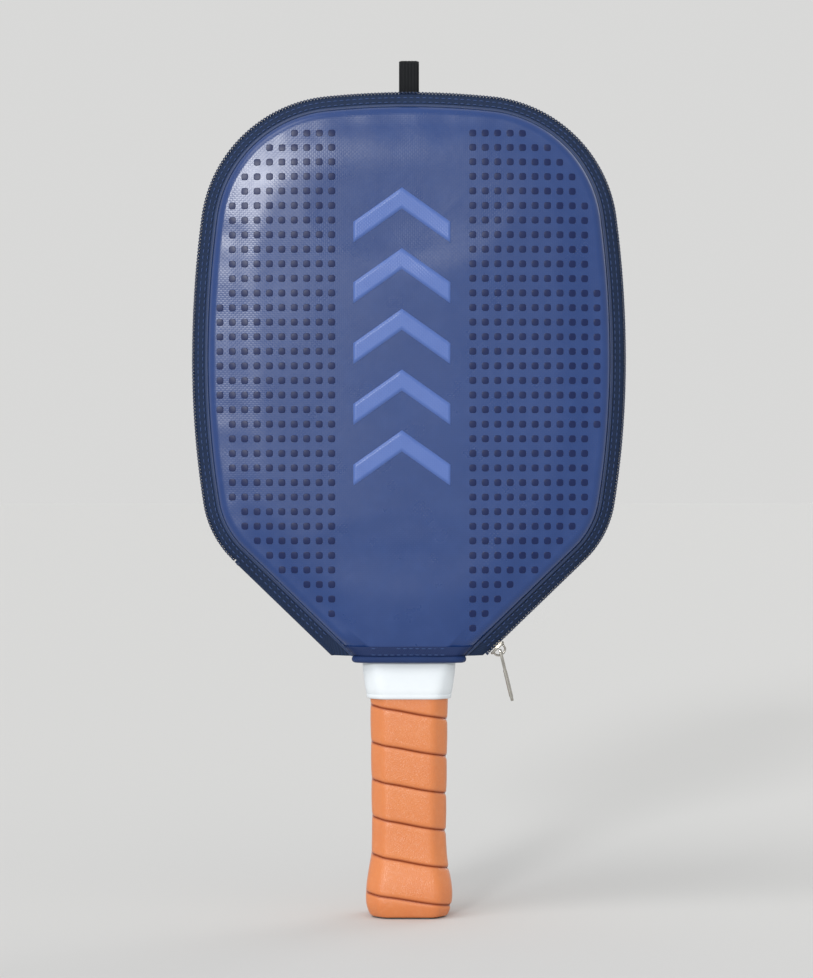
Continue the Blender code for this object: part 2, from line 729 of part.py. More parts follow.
def build_collar():
    """The rubber collar over the wrap's top end, its bore open to the paddle's neck."""
    outside = [ring_at(half, depth, min(GRIP_CHAMFER, depth * COLLAR_CHAMFER_SHARE), z)
               for z, half, depth in COLLAR_PROFILE]
    wrap_half = grip_half_width(WRAP_TOP) + GAP
    bore = [ring_at(wrap_half, wrap_half - GRIP_FLATNESS, GRIP_CHAMFER, z)
            for z in (COLLAR_BOTTOM, WRAP_TOP + GAP)]
    bore += [ring_at(NECK_HALF_WIDTH + GAP, depth, chamfer, z) for z, depth, chamfer in COLLAR_BORE]
    sleeve("grip_collar", outside, bore, COLLAR_WHITE)


# ---------------------------------------------------------------- build

clear_scene()
PARTS = make_collection(COLLECTION_NAME)

FABRIC_BLUE = make_material("cover_fabric", (0.060, 0.105, 0.290), 0.45)
PIPING_BLUE = make_material("piping", (0.050, 0.090, 0.240), 0.5)
TAPE_NAVY = make_material("zipper_tape", (0.012, 0.028, 0.080), 0.8)
COIL_NAVY = make_material("zipper_coil", (0.020, 0.045, 0.110), 0.5)
FOAM_GREY = make_material("foam", (0.18, 0.19, 0.20), 0.9)
LINING_GREY = make_material("lining", (0.10, 0.11, 0.13), 0.85)
ZIP_METAL = make_material("zip_metal", (0.62, 0.63, 0.65), 0.3, 1.0)
WEBBING_BLACK = make_material("webbing", (0.012, 0.012, 0.014), 0.8)
CORE_WHITE = make_material("core", (0.75, 0.76, 0.74), 0.6)
FACE_CARBON = make_material("face_sheet", (0.030, 0.030, 0.034), 0.45)
GUARD_BLACK = make_material("edge_guard", (0.015, 0.015, 0.017), 0.4)
PALLET_WOOD = make_material("pallet", (0.46, 0.32, 0.19), 0.7)
CAP_BLACK = make_material("butt_cap", (0.02, 0.02, 0.02), 0.5)
GRIP_TAN = make_material("grip_wrap", (0.76, 0.33, 0.14), 0.55)
COLLAR_WHITE = make_material("collar", (0.80, 0.82, 0.84), 0.5)

build_cover_half("back", BACK)
build_cover_half("front", FRONT)
opening_axis = add_empty("cover_opening_axis", (LEFT_CORNER.x, 0, LEFT_CORNER.z))
hang_on(opening_axis, [part for part in PARTS.objects
                       if part.name.startswith(("front_", "cover_front"))])
build_hinge()
build_stop("zipper_bottom_stop", RIGHT_CORNER, 0)
build_stop("zipper_top_stop", LEFT_CORNER, HINGE_END + GAP)
build_pull(build_slider())
build_loop()
build_blade()
build_handle()
build_wrap()
build_collar()
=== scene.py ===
"""Looks for the pickleball paddle in its padded zip cover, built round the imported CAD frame.

Row frame: metres, +Z up, the cover's front faces -Y. As in the CAD, a place in the cover's
section is (inset, height): inset is the distance in from the cover's outline, and height is the
distance from the zipper's plane (y = 0) to the front or the back.
"""
import json
from math import ceil, copysign, cos, exp, hypot, pi, radians, sin, tan, tau

import bmesh
import bpy
import numpy as np
from mathutils import Matrix, Vector, noise
from mathutils.bvhtree import BVHTree
from mathutils.kdtree import KDTree


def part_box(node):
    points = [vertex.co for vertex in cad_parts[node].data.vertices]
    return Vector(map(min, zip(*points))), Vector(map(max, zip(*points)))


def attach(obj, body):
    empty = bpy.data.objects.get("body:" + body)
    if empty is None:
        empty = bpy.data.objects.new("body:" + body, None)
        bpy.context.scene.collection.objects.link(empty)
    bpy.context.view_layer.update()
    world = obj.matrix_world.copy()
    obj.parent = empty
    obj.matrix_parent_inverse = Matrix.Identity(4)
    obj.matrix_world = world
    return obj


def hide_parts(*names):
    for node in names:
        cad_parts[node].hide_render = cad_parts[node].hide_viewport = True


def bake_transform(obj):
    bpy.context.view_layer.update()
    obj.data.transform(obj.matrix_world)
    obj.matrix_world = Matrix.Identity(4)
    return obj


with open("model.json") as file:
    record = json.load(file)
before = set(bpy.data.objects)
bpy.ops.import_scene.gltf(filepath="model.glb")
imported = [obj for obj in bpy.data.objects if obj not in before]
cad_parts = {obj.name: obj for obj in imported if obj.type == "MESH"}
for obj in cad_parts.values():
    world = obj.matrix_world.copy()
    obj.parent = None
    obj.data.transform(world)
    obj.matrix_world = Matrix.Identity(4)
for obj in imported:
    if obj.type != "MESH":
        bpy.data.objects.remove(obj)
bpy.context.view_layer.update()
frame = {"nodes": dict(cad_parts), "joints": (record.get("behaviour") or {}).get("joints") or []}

MM = 0.001
ROOT = "paddle_in_back_shell"
FRONT_SHELL = "front_shell"
SLIDER = "zipper_slider"
PULL = "zipper_pull"
FRONT = -1
BACK = 1
SIDES = (("front", FRONT, FRONT_SHELL), ("back", BACK, ROOT))

# Outlines, as in the CAD: chains of (radius, turn in degrees) from the top centre.
COVER_ARCS = [(400 * MM, 6.0), (70 * MM, 76.5), (546 * MM, 7.5), (460 * MM, 9.0), (50 * MM, 37.0)]
COVER_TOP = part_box("front_zipper_coil")[1][2]
MOUTH_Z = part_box("front_zipper_tape")[0][2]
PADDLE_INSET = 7 * MM
PADDLE_ARCS = [(radius - PADDLE_INSET, turn) for radius, turn in COVER_ARCS[:-1]]
PADDLE_ARCS.append((COVER_ARCS[-1][0] - PADDLE_INSET, 47.0))
NECK_FILLET = 14 * MM
NECK_HALF_WIDTH = 18.5 * MM
NECK_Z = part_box("edge_guard")[0][2]
ARC_STEPS_PER_DEGREE = 1.2
EVEN_SPACING = 3.5 * MM

# The padded panel: its height, where its flat face starts, its crown and its rounded edge.
PANEL_HEIGHT = abs(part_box("cover_front_panel")[0][1])
PANEL_FLAT = 16 * MM
PANEL_SKIN = 1.1 * MM
CROWN = 1.8 * MM
CORNER_RADIUS = 4.5 * MM
CORNER_INSET = 13.4 * MM
CORNER_HEIGHT = PANEL_HEIGHT - 4.6 * MM

# The shells' rings close in on an upright spine on the centre line, between these levels.
SPINE_LOW = 178 * MM
SPINE_HIGH = 330 * MM

# Cloth simulation of the padded panels. A point moves as its neighbours within CLOTH_BLEND do
# on average, and by no more than CLOTH_REACH.
CLOTH_FRAMES = 14
CLOTH_PRESSURE = 3.0
CLOTH_EASE = -0.001
CLOTH_REACH = 1.6 * MM
CLOTH_BLEND = 7.0 * MM

# The grip: half widths up its height, and the winding of its tape.
GRIP_PROFILE = np.array([(0.0, 18.4), (1.0, 19.3), (4.0, 20.7), (9.0, 21.5), (15.0, 21.3),
                         (22.0, 20.0), (30.0, 18.7), (40.0, 18.25), (75.0, 18.7),
                         (110.0, 19.2)]) * MM
GRIP_FLATNESS = 3.6 * MM
GRIP_CHAMFER = 6.5 * MM
WRAP_PITCH = 18.5 * MM
WRAP_FIRST_SEAM = 9.2 * MM
WRAP_THICKNESS = 1.7 * MM

# How much higher the hanging loop's front end is sewn than its back end.
LOOP_STEP = 6.1 * MM


# ------------------------ node materials

def linear(colour):
    """A colour as it looks on screen, 0 to 255, as the shader's linear colour."""
    shares = [value / 255 for value in colour]
    return [s / 12.92 if s <= 0.04045 else ((s + 0.055) / 1.055) ** 2.4 for s in shares] + [1.0]


class Surface:
    """A Principled material and short calls that add procedural detail to it.

    Sizes and depths are in millimetres, and colours are as they look on screen, 0 to 255.
    """

    def __init__(self, name, colour, roughness, metallic=0.0, **sockets):
        self.material = bpy.data.materials.new(name)
        self.material.use_nodes = True
        self.tree = self.material.node_tree
        self.shader = self.tree.nodes["Principled BSDF"]
        values = {"Base Color": linear(colour), "Roughness": roughness, "Metallic": metallic}
        values.update((socket.replace("_", " "), value) for socket, value in sockets.items())
        for socket, value in values.items():
            self.shader.inputs[socket].default_value = value
        self.normal = None
        self.coordinates = self.node("ShaderNodeTexCoord", "Object")

    def node(self, kind, output, inputs=(), **settings):
        """One output of a new node; each input is fed by another output or a value."""
        node = self.tree.nodes.new(kind)
        for name, value in settings.items():
            setattr(node, name, value)
        for key, value in dict(inputs).items():
            if isinstance(value, bpy.types.NodeSocket):
                self.tree.links.new(value, node.inputs[key])
            else:
                node.inputs[key].default_value = value
        return node.outputs[output]

    def math(self, operation, a, b):
        return self.node("ShaderNodeMath", "Value", {0: a, 1: b}, operation=operation)

    def mapped(self, scale=(1, 1, 1), rotation=(0, 0, 0), source=None):
        return self.node("ShaderNodeMapping", "Vector", {
            "Vector": source or self.coordinates, "Scale": scale, "Rotation": rotation})

    def uv(self):
        return self.node("ShaderNodeUVMap", "UV", uv_map="Along")

    def seam(self):
        """How deep in the seams a point lies, from the mesh's own attribute: the mask for painted
        shade in those grooves.
        """
        return self.node("ShaderNodeAttribute", "Fac", attribute_name="seam")

    def noise(self, size, detail, stretch=(1, 1, 1)):
        """Noise whose blobs are about this size."""
        place = self.mapped(tuple(k / (size * MM) for k in stretch))
        return self.node("ShaderNodeTexNoise", "Fac", {
            "Vector": place, "Scale": 1.0, "Detail": detail})

    def cells(self, size, feature="F1"):
        place = self.mapped((1 / (size * MM),) * 3)
        return self.node("ShaderNodeTexVoronoi", "Distance", {"Vector": place, "Scale": 1.0},
                         feature=feature)

    def wave(self, pitch, direction="X", turn=0.0, source=None):
        """A sine from 0 to 1 that repeats at this pitch along one axis, turned about Z."""
        place = self.mapped(rotation=(0, 0, turn), source=source)
        scale = tau / 20 / (pitch * MM)
        return self.node("ShaderNodeTexWave", "Fac", {"Vector": place, "Scale": scale},
                         bands_direction=direction, wave_profile="SIN")

    def ramp(self, value, low, high, start=0.0, end=1.0):
        return self.node("ShaderNodeMapRange", "Result", {
            "Value": value, "From Min": low, "From Max": high, "To Min": start, "To Max": end})

    def tint(self, factor, colour):
        """Mixes a colour over what the base colour is so far."""
        base = self.shader.inputs["Base Color"]
        under = base.links[0].from_socket if base.is_linked else base.default_value
        mixed = self.node("ShaderNodeMix", "Result", {
            "Factor": factor, "A": under, "B": linear(colour)}, data_type="RGBA")
        self.tree.links.new(mixed, base)

    def bump(self, height, depth):
        """Adds relief: height runs from 0 to 1 over this depth."""
        inputs = {"Height": height, "Distance": depth * MM}
        if self.normal is not None:
            inputs["Normal"] = self.normal
        self.normal = self.node("ShaderNodeBump", "Normal", inputs)
        self.tree.links.new(self.normal, self.shader.inputs["Normal"])

    def blotches(self, size, detail, low, high, amount, colour):
        """Tints the places where a noise goes from low to high, up to this amount."""
        self.tint(self.ramp(self.noise(size, detail), low, high, 0, amount), colour)

    def grain(self, size, detail, depth):
        self.bump(self.noise(size, detail), depth)

    def patches(self, size, detail, low, high):
        """Lets the roughness wander between two values."""
        roughness = self.ramp(self.noise(size, detail), 0.0, 1.0, low, high)
        self.tree.links.new(roughness, self.shader.inputs["Roughness"])

    def weave(self, pitch, depth):
        """A plain weave: crossed threads that pass over and under each other."""
        a, b = self.wave(pitch, "X"), self.wave(pitch, "Z")
        over, under = [self.math("SUBTRACT", self.wave(pitch * 2, axis), 0.5) for axis in "XZ"]
        turn = self.math("GREATER_THAN", self.math("MULTIPLY", over, under), 0.0)
        threads = self.node("ShaderNodeMix", "Result", {"Factor": turn, "A": a, "B": b},
                            data_type="FLOAT")
        self.bump(threads, depth)
        return threads


def cover_fabric():
    s = Surface("cover_fabric", (20, 57, 118), 0.3, Specular_IOR_Level=0.6)
    s.blotches(60, 2, 0.35, 0.7, 0.35, (16, 49, 106))
    s.blotches(7, 4, 0.45, 0.75, 0.16, (48, 80, 142))
    s.tint(s.ramp(s.weave(1.0, 0.012), 0.2, 0.9, 0.16, 0.0), (16, 38, 84))
    s.grain(3, 2, 0.03)
    s.patches(18, 4, 0.24, 0.33)
    return s


def chevron_print():
    s = Surface("chevron_print", (80, 108, 176), 0.32)
    s.blotches(5, 5, 0.5, 0.8, 0.3, (64, 92, 160))
    s.tint(s.ramp(s.weave(0.9, 0.03), 0.1, 0.6, 0.14, 0.0), (46, 76, 140))
    s.patches(9, 4, 0.26, 0.36)
    return s


def woven_tape(name, colour, light, roughness):
    """Herringbone tape: threads run along the piece's own length."""
    s = Surface(name, colour, roughness, Specular_IOR_Level=0.3)
    along = s.uv()
    rows = s.wave(0.9, "X", radians(35), along)
    s.tint(s.ramp(rows, 0.3, 0.9, 0.0, 0.5), light)
    s.bump(rows, 0.12)
    s.bump(s.wave(0.45, "Y", source=along), 0.06)
    s.blotches(9, 4, 0.4, 0.75, 0.25, light)
    return s


def piping_fabric():
    s = Surface("piping_fabric", (26, 50, 92), 0.4)
    s.bump(s.wave(0.7, "X", 0.6, s.uv()), 0.05)
    s.blotches(5, 4, 0.4, 0.7, 0.35, (40, 66, 110))
    s.patches(3, 3, 0.32, 0.48)
    return s


def webbing():
    s = Surface("webbing_black", (9, 12, 15), 0.6, Specular_IOR_Level=0.2)
    along = s.uv()
    threads = s.wave(0.55, "X", 0.5, along)
    s.bump(s.wave(1.6, "Y", source=along), 0.14)
    s.bump(threads, 0.08)
    s.tint(s.ramp(threads, 0.4, 0.95, 0, 0.5), (27, 30, 35))
    return s


def grip_leather():
    s = Surface("grip_leather", (218, 130, 72), 0.36, Specular_IOR_Level=0.6)
    s.blotches(22, 3, 0.35, 0.7, 0.4, (210, 120, 72))
    s.blotches(3.0, 5, 0.5, 0.8, 0.25, (232, 156, 110))
    pores = s.cells(0.75, "DISTANCE_TO_EDGE")
    s.bump(s.ramp(pores, 0.0, 0.22), 0.045)
    s.tint(s.ramp(pores, 0.0, 0.08, 0.22, 0.0), (176, 88, 46))
    # Painted shade: darker down in the grooved seams between turns of the tape.
    s.tint(s.ramp(s.seam(), 0.15, 0.8, 0.0, 0.85), (146, 64, 30))
    s.patches(8, 4, 0.28, 0.4)
    return s


def lining_knit():
    s = Surface("lining_knit", (86, 92, 104), 0.85, Sheen_Weight=0.3)
    s.tint(s.ramp(s.weave(0.8, 0.12), 0.1, 0.8, 0.45, 0.0), (50, 54, 64))
    s.blotches(9, 4, 0.4, 0.8, 0.14, (112, 118, 130))
    # Painted shade: darker down in the quilted grooves.
    s.tint(s.ramp(s.seam(), 0.35, 0.95, 0.0, 0.6), (38, 42, 54))
    return s


def carbon_face():
    s = Surface("carbon_face", (38, 39, 42), 0.38, Coat_Weight=0.25, Coat_Roughness=0.3)
    s.tint(s.ramp(s.weave(1.3, 0.02), 0.2, 0.9, 0.0, 0.5), (72, 74, 80))
    s.grain(0.35, 3, 0.03)
    s.patches(20, 4, 0.34, 0.5)
    return s


def foam():
    s = Surface("foam_grey", (120, 122, 126), 0.95)
    s.bump(s.cells(0.9), 0.2)
    s.blotches(2, 4, 0.4, 0.7, 0.5, (92, 94, 98))
    return s


def pallet_wood():
    s = Surface("pallet_wood", (196, 160, 116), 0.65)
    rings = s.noise(3, 6, stretch=(1, 1, 0.06))
    s.tint(s.ramp(rings, 0.35, 0.7, 0, 0.7), (150, 112, 74))
    s.bump(rings, 0.1)
    return s


def plain(name, colour, roughness, metallic=0.0, blotches=None, grain=None, patches=None,
          **sockets):
    """A material of one colour with blotches, a fine grain and an uneven gloss."""
    s = Surface(name, colour, roughness, metallic, **sockets)
    for detail, values in ((s.blotches, blotches), (s.grain, grain), (s.patches, patches)):
        if values:
            detail(*values)
    return s


def thread(name, colour, light):
    return plain(name, colour, 0.6, blotches=(1.5, 2, 0.4, 0.7, 0.3, light), grain=(0.25, 2, 0.05))


SURFACES = {
    "cover": cover_fabric(), "print": chevron_print(), "piping": piping_fabric(),
    "webbing": webbing(), "grip": grip_leather(), "lining": lining_knit(),
    "carbon": carbon_face(), "foam": foam(), "wood": pallet_wood(),
    "tape": woven_tape("zipper_tape_weave", (16, 34, 62), (34, 56, 92), 0.75),
    "hem": woven_tape("hem_weave", (18, 42, 88), (34, 62, 116), 0.5),
    "band": woven_tape("hem_band_weave", (15, 36, 80), (28, 54, 106), 0.55),
    "navy_thread": thread("thread_navy", (44, 68, 116), (55, 83, 140)),
    "black_thread": thread("thread_black", (52, 54, 60), (64, 67, 74)),
    "dot": plain("dot_gloss", (8, 26, 74), 0.36, blotches=(3, 2, 0.4, 0.7, 0.4, (14, 36, 86)),
                 grain=(1.2, 2, 0.01), patches=(6, 3, 0.3, 0.42), Specular_IOR_Level=0.3),
    "coil": plain("coil_plastic", (24, 44, 80), 0.38, grain=(0.4, 2, 0.02),
                  blotches=(2, 3, 0.4, 0.7, 0.4, (40, 62, 102))),
    "metal": plain("zip_nickel", (176, 173, 166), 0.2, 1.0, grain=(0.7, 3, 0.015),
                   blotches=(2.5, 5, 0.5, 0.8, 0.4, (112, 108, 102)), patches=(1.6, 5, 0.12, 0.34)),
    "dark_metal": plain("dark_coated_metal", (44, 54, 76), 0.4, 0.8, grain=(0.5, 3, 0.02),
                        patches=(1.2, 4, 0.32, 0.5)),
    "collar": plain("collar_rubber", (222, 228, 232), 0.42, grain=(0.5, 3, 0.03),
                    blotches=(14, 4, 0.4, 0.75, 0.3, (204, 210, 218)), patches=(5, 3, 0.42, 0.6)),
    "butt": plain("butt_rubber", (34, 34, 36), 0.6, grain=(0.5, 3, 0.04),
                  blotches=(6, 5, 0.5, 0.8, 0.4, (62, 60, 60))),
    "guard": plain("guard_plastic", (26, 26, 28), 0.36, grain=(0.6, 3, 0.03),
                   blotches=(5, 6, 0.55, 0.8, 0.4, (70, 70, 74)), patches=(12, 4, 0.28, 0.46)),
    "core": plain("core_polymer", (226, 226, 220), 0.55, grain=(1.0, 3, 0.05),
                  blotches=(6, 4, 0.4, 0.7, 0.4, (200, 200, 190))),
    "floor": plain("floor_pale", (209.8, 209.8, 209.1), 0.85),
}
MATERIAL = {key: surface.material for key, surface in SURFACES.items()}


# ------------------------ outlines

class Path:
    """An outline as a row of places, with their inward normals and the distance along it."""

    def __init__(self, places, normals):
        self.places = np.array(places)
        self.normals = np.array(normals)
        steps = np.linalg.norm(np.diff(self.places, axis=0), axis=1)
        self.along = np.concatenate([[0.0], np.cumsum(steps)])
        self.length = self.along[-1]

    def resampled(self, spacing, start=0.0, end=None):
        """The stretch from start to end, at about this spacing."""
        end = self.length if end is None else end
        marks = np.linspace(start, end, max(2, round((end - start) / spacing) + 1))
        x, z, nx, nz = [np.interp(marks, self.along, values)
                        for values in (*self.places.T, *self.normals.T)]
        return Path(np.column_stack([x, z]), np.column_stack([nx, nz]) / np.hypot(nx, nz)[:, None])

    def inset(self, distance, cut_z=None):
        """Points this far inside; with cut_z, the two ends slide along onto that level."""
        points = self.places + self.normals * distance
        if cut_z is not None:
            for end in (0, -1):
                tangent = np.array([-self.normals[end][1], self.normals[end][0]])
                points[end] += tangent * (cut_z - points[end][1]) / tangent[1]
        return points


def add_arc(track, radius, turn, steps):
    """Carries a track of (x, z, heading) on along an arc."""
    x, z, heading = track[-1]
    bend = copysign(radius, turn)
    for _ in range(steps):
        turned = heading + turn / steps
        x += bend * (sin(turned) - sin(heading))
        z += bend * (cos(turned) - cos(heading))
        heading = turned
        track.append((x, z, heading))


def add_run(track, length):
    """Carries a track straight on."""
    x, z, heading = track[-1]
    track.append((x + length * cos(heading), z - length * sin(heading), heading))


def walk(start_z, arcs):
    """A track along tangent arcs from the top centre towards +X."""
    track = [(0.0, start_z, 0.0)]
    for radius, turn in arcs:
        add_arc(track, radius, radians(turn), ceil(abs(turn) * ARC_STEPS_PER_DEGREE))
    return track


def both_halves(track):
    """A half outline and its mirror image as one path, from the lower right to the lower left."""
    right = [((x, z), (-sin(h), -cos(h))) for x, z, h in track]
    left = [((-x, z), (-nx, nz)) for (x, z), (nx, nz) in right[1:]]
    chain = right[::-1] + left
    return Path([place for place, _ in chain], [normal for _, normal in chain])


def cover_outline():
    track = walk(COVER_TOP, COVER_ARCS)
    _, z, heading = track[-1]
    add_run(track, (z - MOUTH_Z) / sin(heading))
    return both_halves(track)


def paddle_outline():
    track = walk(COVER_TOP - PADDLE_INSET, PADDLE_ARCS)
    x, _, heading = track[-1]
    turn_back = heading - pi / 2
    run = (x - NECK_HALF_WIDTH) / -cos(heading)
    add_run(track, run - NECK_FILLET * tan(turn_back / 2))
    add_arc(track, NECK_FILLET, -turn_back, 12)
    x, _, heading = track[-1]
    track[-1] = (x, NECK_Z, heading)
    return both_halves(track)


COVER = cover_outline()
COVER_EVEN = COVER.resampled(EVEN_SPACING)
PADDLE = paddle_outline()


def insets_of(points):
    """How far in from the cover's outline points in the XZ plane lie; negative outside it."""
    edge = COVER.resampled(1.5 * MM)
    insets = []
    for point in points:
        gaps = point - edge.places
        distances = np.linalg.norm(gaps, axis=1)
        nearest = np.argmin(distances)
        insets.append(copysign(distances[nearest], gaps[nearest] @ edge.normals[nearest]))
    return insets


def slant_length():
    """Length of the straight slant up from a mouth corner."""
    return float(np.linalg.norm(COVER.places[1] - COVER.places[0]))


def slant_lean():
    """How far the slant moves out for each metre up."""
    run = COVER.places[1] - COVER.places[0]
    return run[0] / run[1]


def slant_axes(hand):
    """The mouth corner, upward tangent and inward normal of the right (1) or left (-1) slant."""
    end = 0 if hand > 0 else -1
    normal = COVER.normals[end]
    tangent = np.array([-normal[1], normal[0]])
    return COVER.places[end], -tangent if tangent[1] < 0 else tangent, normal


def slant_place(distance, inset, height=0.0, hand=1):
    """A point on a slant, this far up from the mouth corner."""
    corner, tangent, normal = slant_axes(hand)
    x, z = corner + tangent * distance + normal * inset
    return Vector((x, height, z))


def slant_frame(distance, inset):
    """A frame on the right slant: X up along it, Z out of the cover, Y across."""
    _, tangent, normal = slant_axes(1)
    along = Vector((tangent[0], 0, tangent[1]))
    out = Vector((-normal[0], 0, -normal[1]))
    axes = Matrix((along, out.cross(along), out)).transposed().to_4x4()
    return Matrix.Translation(slant_place(distance, inset)) @ axes


# ------------------------ mesh builders

def add_object(name, data):
    thing = bpy.data.objects.new(name, data)
    bpy.context.scene.collection.objects.link(thing)
    return thing


def mesh_object(name, vertices, faces, material, uvs=None):
    mesh = bpy.data.meshes.new(name)
    mesh.from_pydata([tuple(v) for v in vertices], [], faces)
    mesh.validate()
    mesh.materials.append(MATERIAL[material])
    if uvs is not None:
        layer = mesh.uv_layers.new(name="Along")
        corner_vertices = np.empty(len(mesh.loops), dtype=np.int32)
        mesh.loops.foreach_get("vertex_index", corner_vertices)
        layer.data.foreach_set("uv", np.asarray(uvs, dtype=np.float32)[corner_vertices].ravel())
    mesh.shade_smooth()
    return add_object(name, mesh)


def grid_faces(rows, columns, wrap_columns=False, wrap_rows=False):
    """Quads over a grid of vertices stored row by row."""
    faces = []
    for row in range(rows if wrap_rows else rows - 1):
        near, far = row * columns, (row + 1) % rows * columns
        for column in range(columns if wrap_columns else columns - 1):
            following = (column + 1) % columns
            faces.append([near + column, near + following, far + following, far + column])
    return faces


def capped_faces(rows, columns):
    """The faces of a closed solid made of rings of vertices, capped at both ends."""
    last = (rows - 1) * columns
    return grid_faces(rows, columns, wrap_columns=True) + [
        list(range(columns)), list(range(last, last + columns))]


def directions(sides):
    """Directions round a circle, as (cosine, sine)."""
    turns = [tau * k / sides for k in range(sides)]
    return [(cos(turn), sin(turn)) for turn in turns]


def shifted(faces, base):
    """The same faces over vertices stored from this index on."""
    return [[base + index for index in face] for face in faces]


def millimetres(points):
    return [tuple(value * MM for value in point) for point in points]


def fix_normals(thing, outward_y=None):
    """Points a mesh's faces out; an open sheet is turned to face outward_y."""
    shape = bmesh.new()
    shape.from_mesh(thing.data)
    bmesh.ops.recalc_face_normals(shape, faces=shape.faces)
    if outward_y is not None:
        total = sum(face.normal.y * face.calc_area() for face in shape.faces)
        if total * outward_y < 0:
            bmesh.ops.reverse_faces(shape, faces=shape.faces)
    shape.to_mesh(thing.data)
    shape.free()
    return thing


def add_weights(thing, weights):
    """Stores how deep in the seams each vertex lies, as the material's mask for painted shade."""
    attribute = thing.data.attributes.new("seam", "FLOAT", "POINT")
    attribute.data.foreach_set("value", np.array(weights, dtype=np.float32))


def thicken(thing, thickness, offset=-1):
    solidify = thing.modifiers.new("Thickness", "SOLIDIFY")
    solidify.thickness = thickness
    solidify.offset = offset


def lofted(name, vertices, count, material, uvs=None, sharp=None):
    """A closed solid through rings of count vertices; edges sharper than sharp stay crisp."""
    faces = capped_faces(len(vertices) // count, count)
    thing = fix_normals(mesh_object(name, vertices, faces, material, uvs))
    if sharp:
        thing.data.set_sharp_from_angle(angle=radians(sharp))
    return thing


def swept(name, path, section, side, material, cut_z=None):
    """A closed section of (inset, height) points carried along a path and capped."""
    rings = []
    for inset, height in section:
        x, z = path.inset(inset, cut_z).T
        rings.append(np.column_stack([x, np.full(len(x), side * height), z]))
    around = np.linalg.norm(np.diff(np.array(section), axis=0, append=[section[0]]), axis=1)
    across = np.concatenate([[0.0], np.cumsum(around)[:-1]])
    uvs = [(s, t) for s in path.along for t in across]
    return lofted(name, np.stack(rings, axis=1).reshape(-1, 3), len(section), material, uvs, 50)


def tube(name, points, radius, material, sides=6, closed=False):
    """A tube of round section through 3-D points, capped unless closed."""
    points = np.asarray(points, dtype=float)
    if closed:
        tangents = np.roll(points, -1, axis=0) - np.roll(points, 1, axis=0)
    else:
        tangents = np.gradient(points, axis=0)
    tangents /= np.linalg.norm(tangents, axis=1)[:, None]
    across = np.cross(tangents[0], (0.0, 0.0, 1.0))
    if np.linalg.norm(across) < 0.1:
        across = np.cross(tangents[0], (1.0, 0.0, 0.0))
    vertices, uvs = [], []
    run = 0.0
    for index, (point, tangent) in enumerate(zip(points, tangents)):
        across = across - tangent * np.dot(across, tangent)
        across /= np.linalg.norm(across)
        other = np.cross(tangent, across)
        if index:
            run += np.linalg.norm(point - points[index - 1])
        for k, (c, s) in enumerate(directions(sides)):
            vertices.append(point + radius * (across * c + other * s))
            uvs.append((run, radius * tau * k / sides))
    if not closed:
        return lofted(name, vertices, sides, material, uvs)
    faces = grid_faces(len(points), sides, wrap_columns=True, wrap_rows=True)
    return fix_normals(mesh_object(name, vertices, faces, material, uvs))


def rounded_outline(points, radii):
    """A polygon with each corner rounded by its radius; both come in millimetres."""
    result = []
    for index, (corner, radius) in enumerate(zip(points, radii)):
        corner = Vector(corner)
        before = (Vector(points[index - 1]) - corner).normalized()
        after = (Vector(points[(index + 1) % len(points)]) - corner).normalized()
        start, end = corner + before * radius, corner + after * radius
        for t in np.linspace(0, 1, 7):
            place = start * (1 - t) ** 2 + corner * 2 * t * (1 - t) + end * t * t
            result.append(tuple(place * MM))
    return result


def slab(name, outline, thickness, matrix, bevel, hole=None):
    """A flat metal plate with eased edges; outline and hole are loops of (x, y) in its plane."""
    half = thickness / 2
    levels = []
    for side in (-1, 1):
        steps = [(half, bevel), (half - 0.3 * bevel, 0.3 * bevel), (half - bevel, 0.0)]
        levels += [(side * z, inset) for z, inset in steps[::-side]]
    shape = bmesh.new()
    caps = {0: [], len(levels) - 1: []}
    for index, loop in enumerate([np.array(outline)] + ([np.array(hole)] if hole else [])):
        following = np.roll(loop, -1, axis=0)
        area = np.sum(loop[:, 0] * following[:, 1] - following[:, 0] * loop[:, 1])
        if (area > 0) == (index > 0):
            loop = loop[::-1]
        run = np.roll(loop, -1, axis=0) - np.roll(loop, 1, axis=0)
        run /= np.linalg.norm(run, axis=1)[:, None]
        inward = np.column_stack([-run[:, 1], run[:, 0]])
        vertices = [shape.verts.new(matrix @ Vector((*(point + normal * inset), z)))
                    for z, inset in levels for point, normal in zip(loop, inward)]
        count = len(loop)
        for face in grid_faces(len(levels), count, wrap_columns=True):
            shape.faces.new([vertices[k] for k in face])
        for level, edges in caps.items():
            ring = vertices[level * count:(level + 1) * count]
            edges += [shape.edges.get((ring[k], ring[(k + 1) % count])) for k in range(count)]
    for edges in caps.values():
        bmesh.ops.triangle_fill(shape, use_beauty=True, edges=edges)
    bmesh.ops.recalc_face_normals(shape, faces=shape.faces)
    mesh = bpy.data.meshes.new(name)
    shape.to_mesh(mesh)
    shape.free()
    mesh.materials.append(MATERIAL["metal"])
    mesh.shade_smooth()
    mesh.set_sharp_from_angle(angle=radians(35))
    return add_object(name, mesh)


def joined(name, things):
    """Several meshes as one piece."""
    bpy.ops.object.select_all(action="DESELECT")
    for thing in things:
        thing.select_set(True)
    bpy.context.view_layer.objects.active = things[0]
    bpy.ops.object.join()
    things[0].name = name
    things[0].data.name = name
    return things[0]


def placed(thing, body, slot, *nodes):
    """Rides a finished piece on its body and hides the CAD nodes it stands for; slot is not used.
    """
    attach(thing, body)
    if nodes:
        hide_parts(*nodes)


# Rings of one stitch, which dips in at both ends: (share of its length, lift, size) in radii.
STITCH_RINGS = ((0.0, -0.6, 0.5), (0.18, 0.25, 1.0), (0.5, 0.55, 1.1), (0.82, 0.25, 1.0),
                (1.0, -0.6, 0.5))
STITCH_SIDES = 6


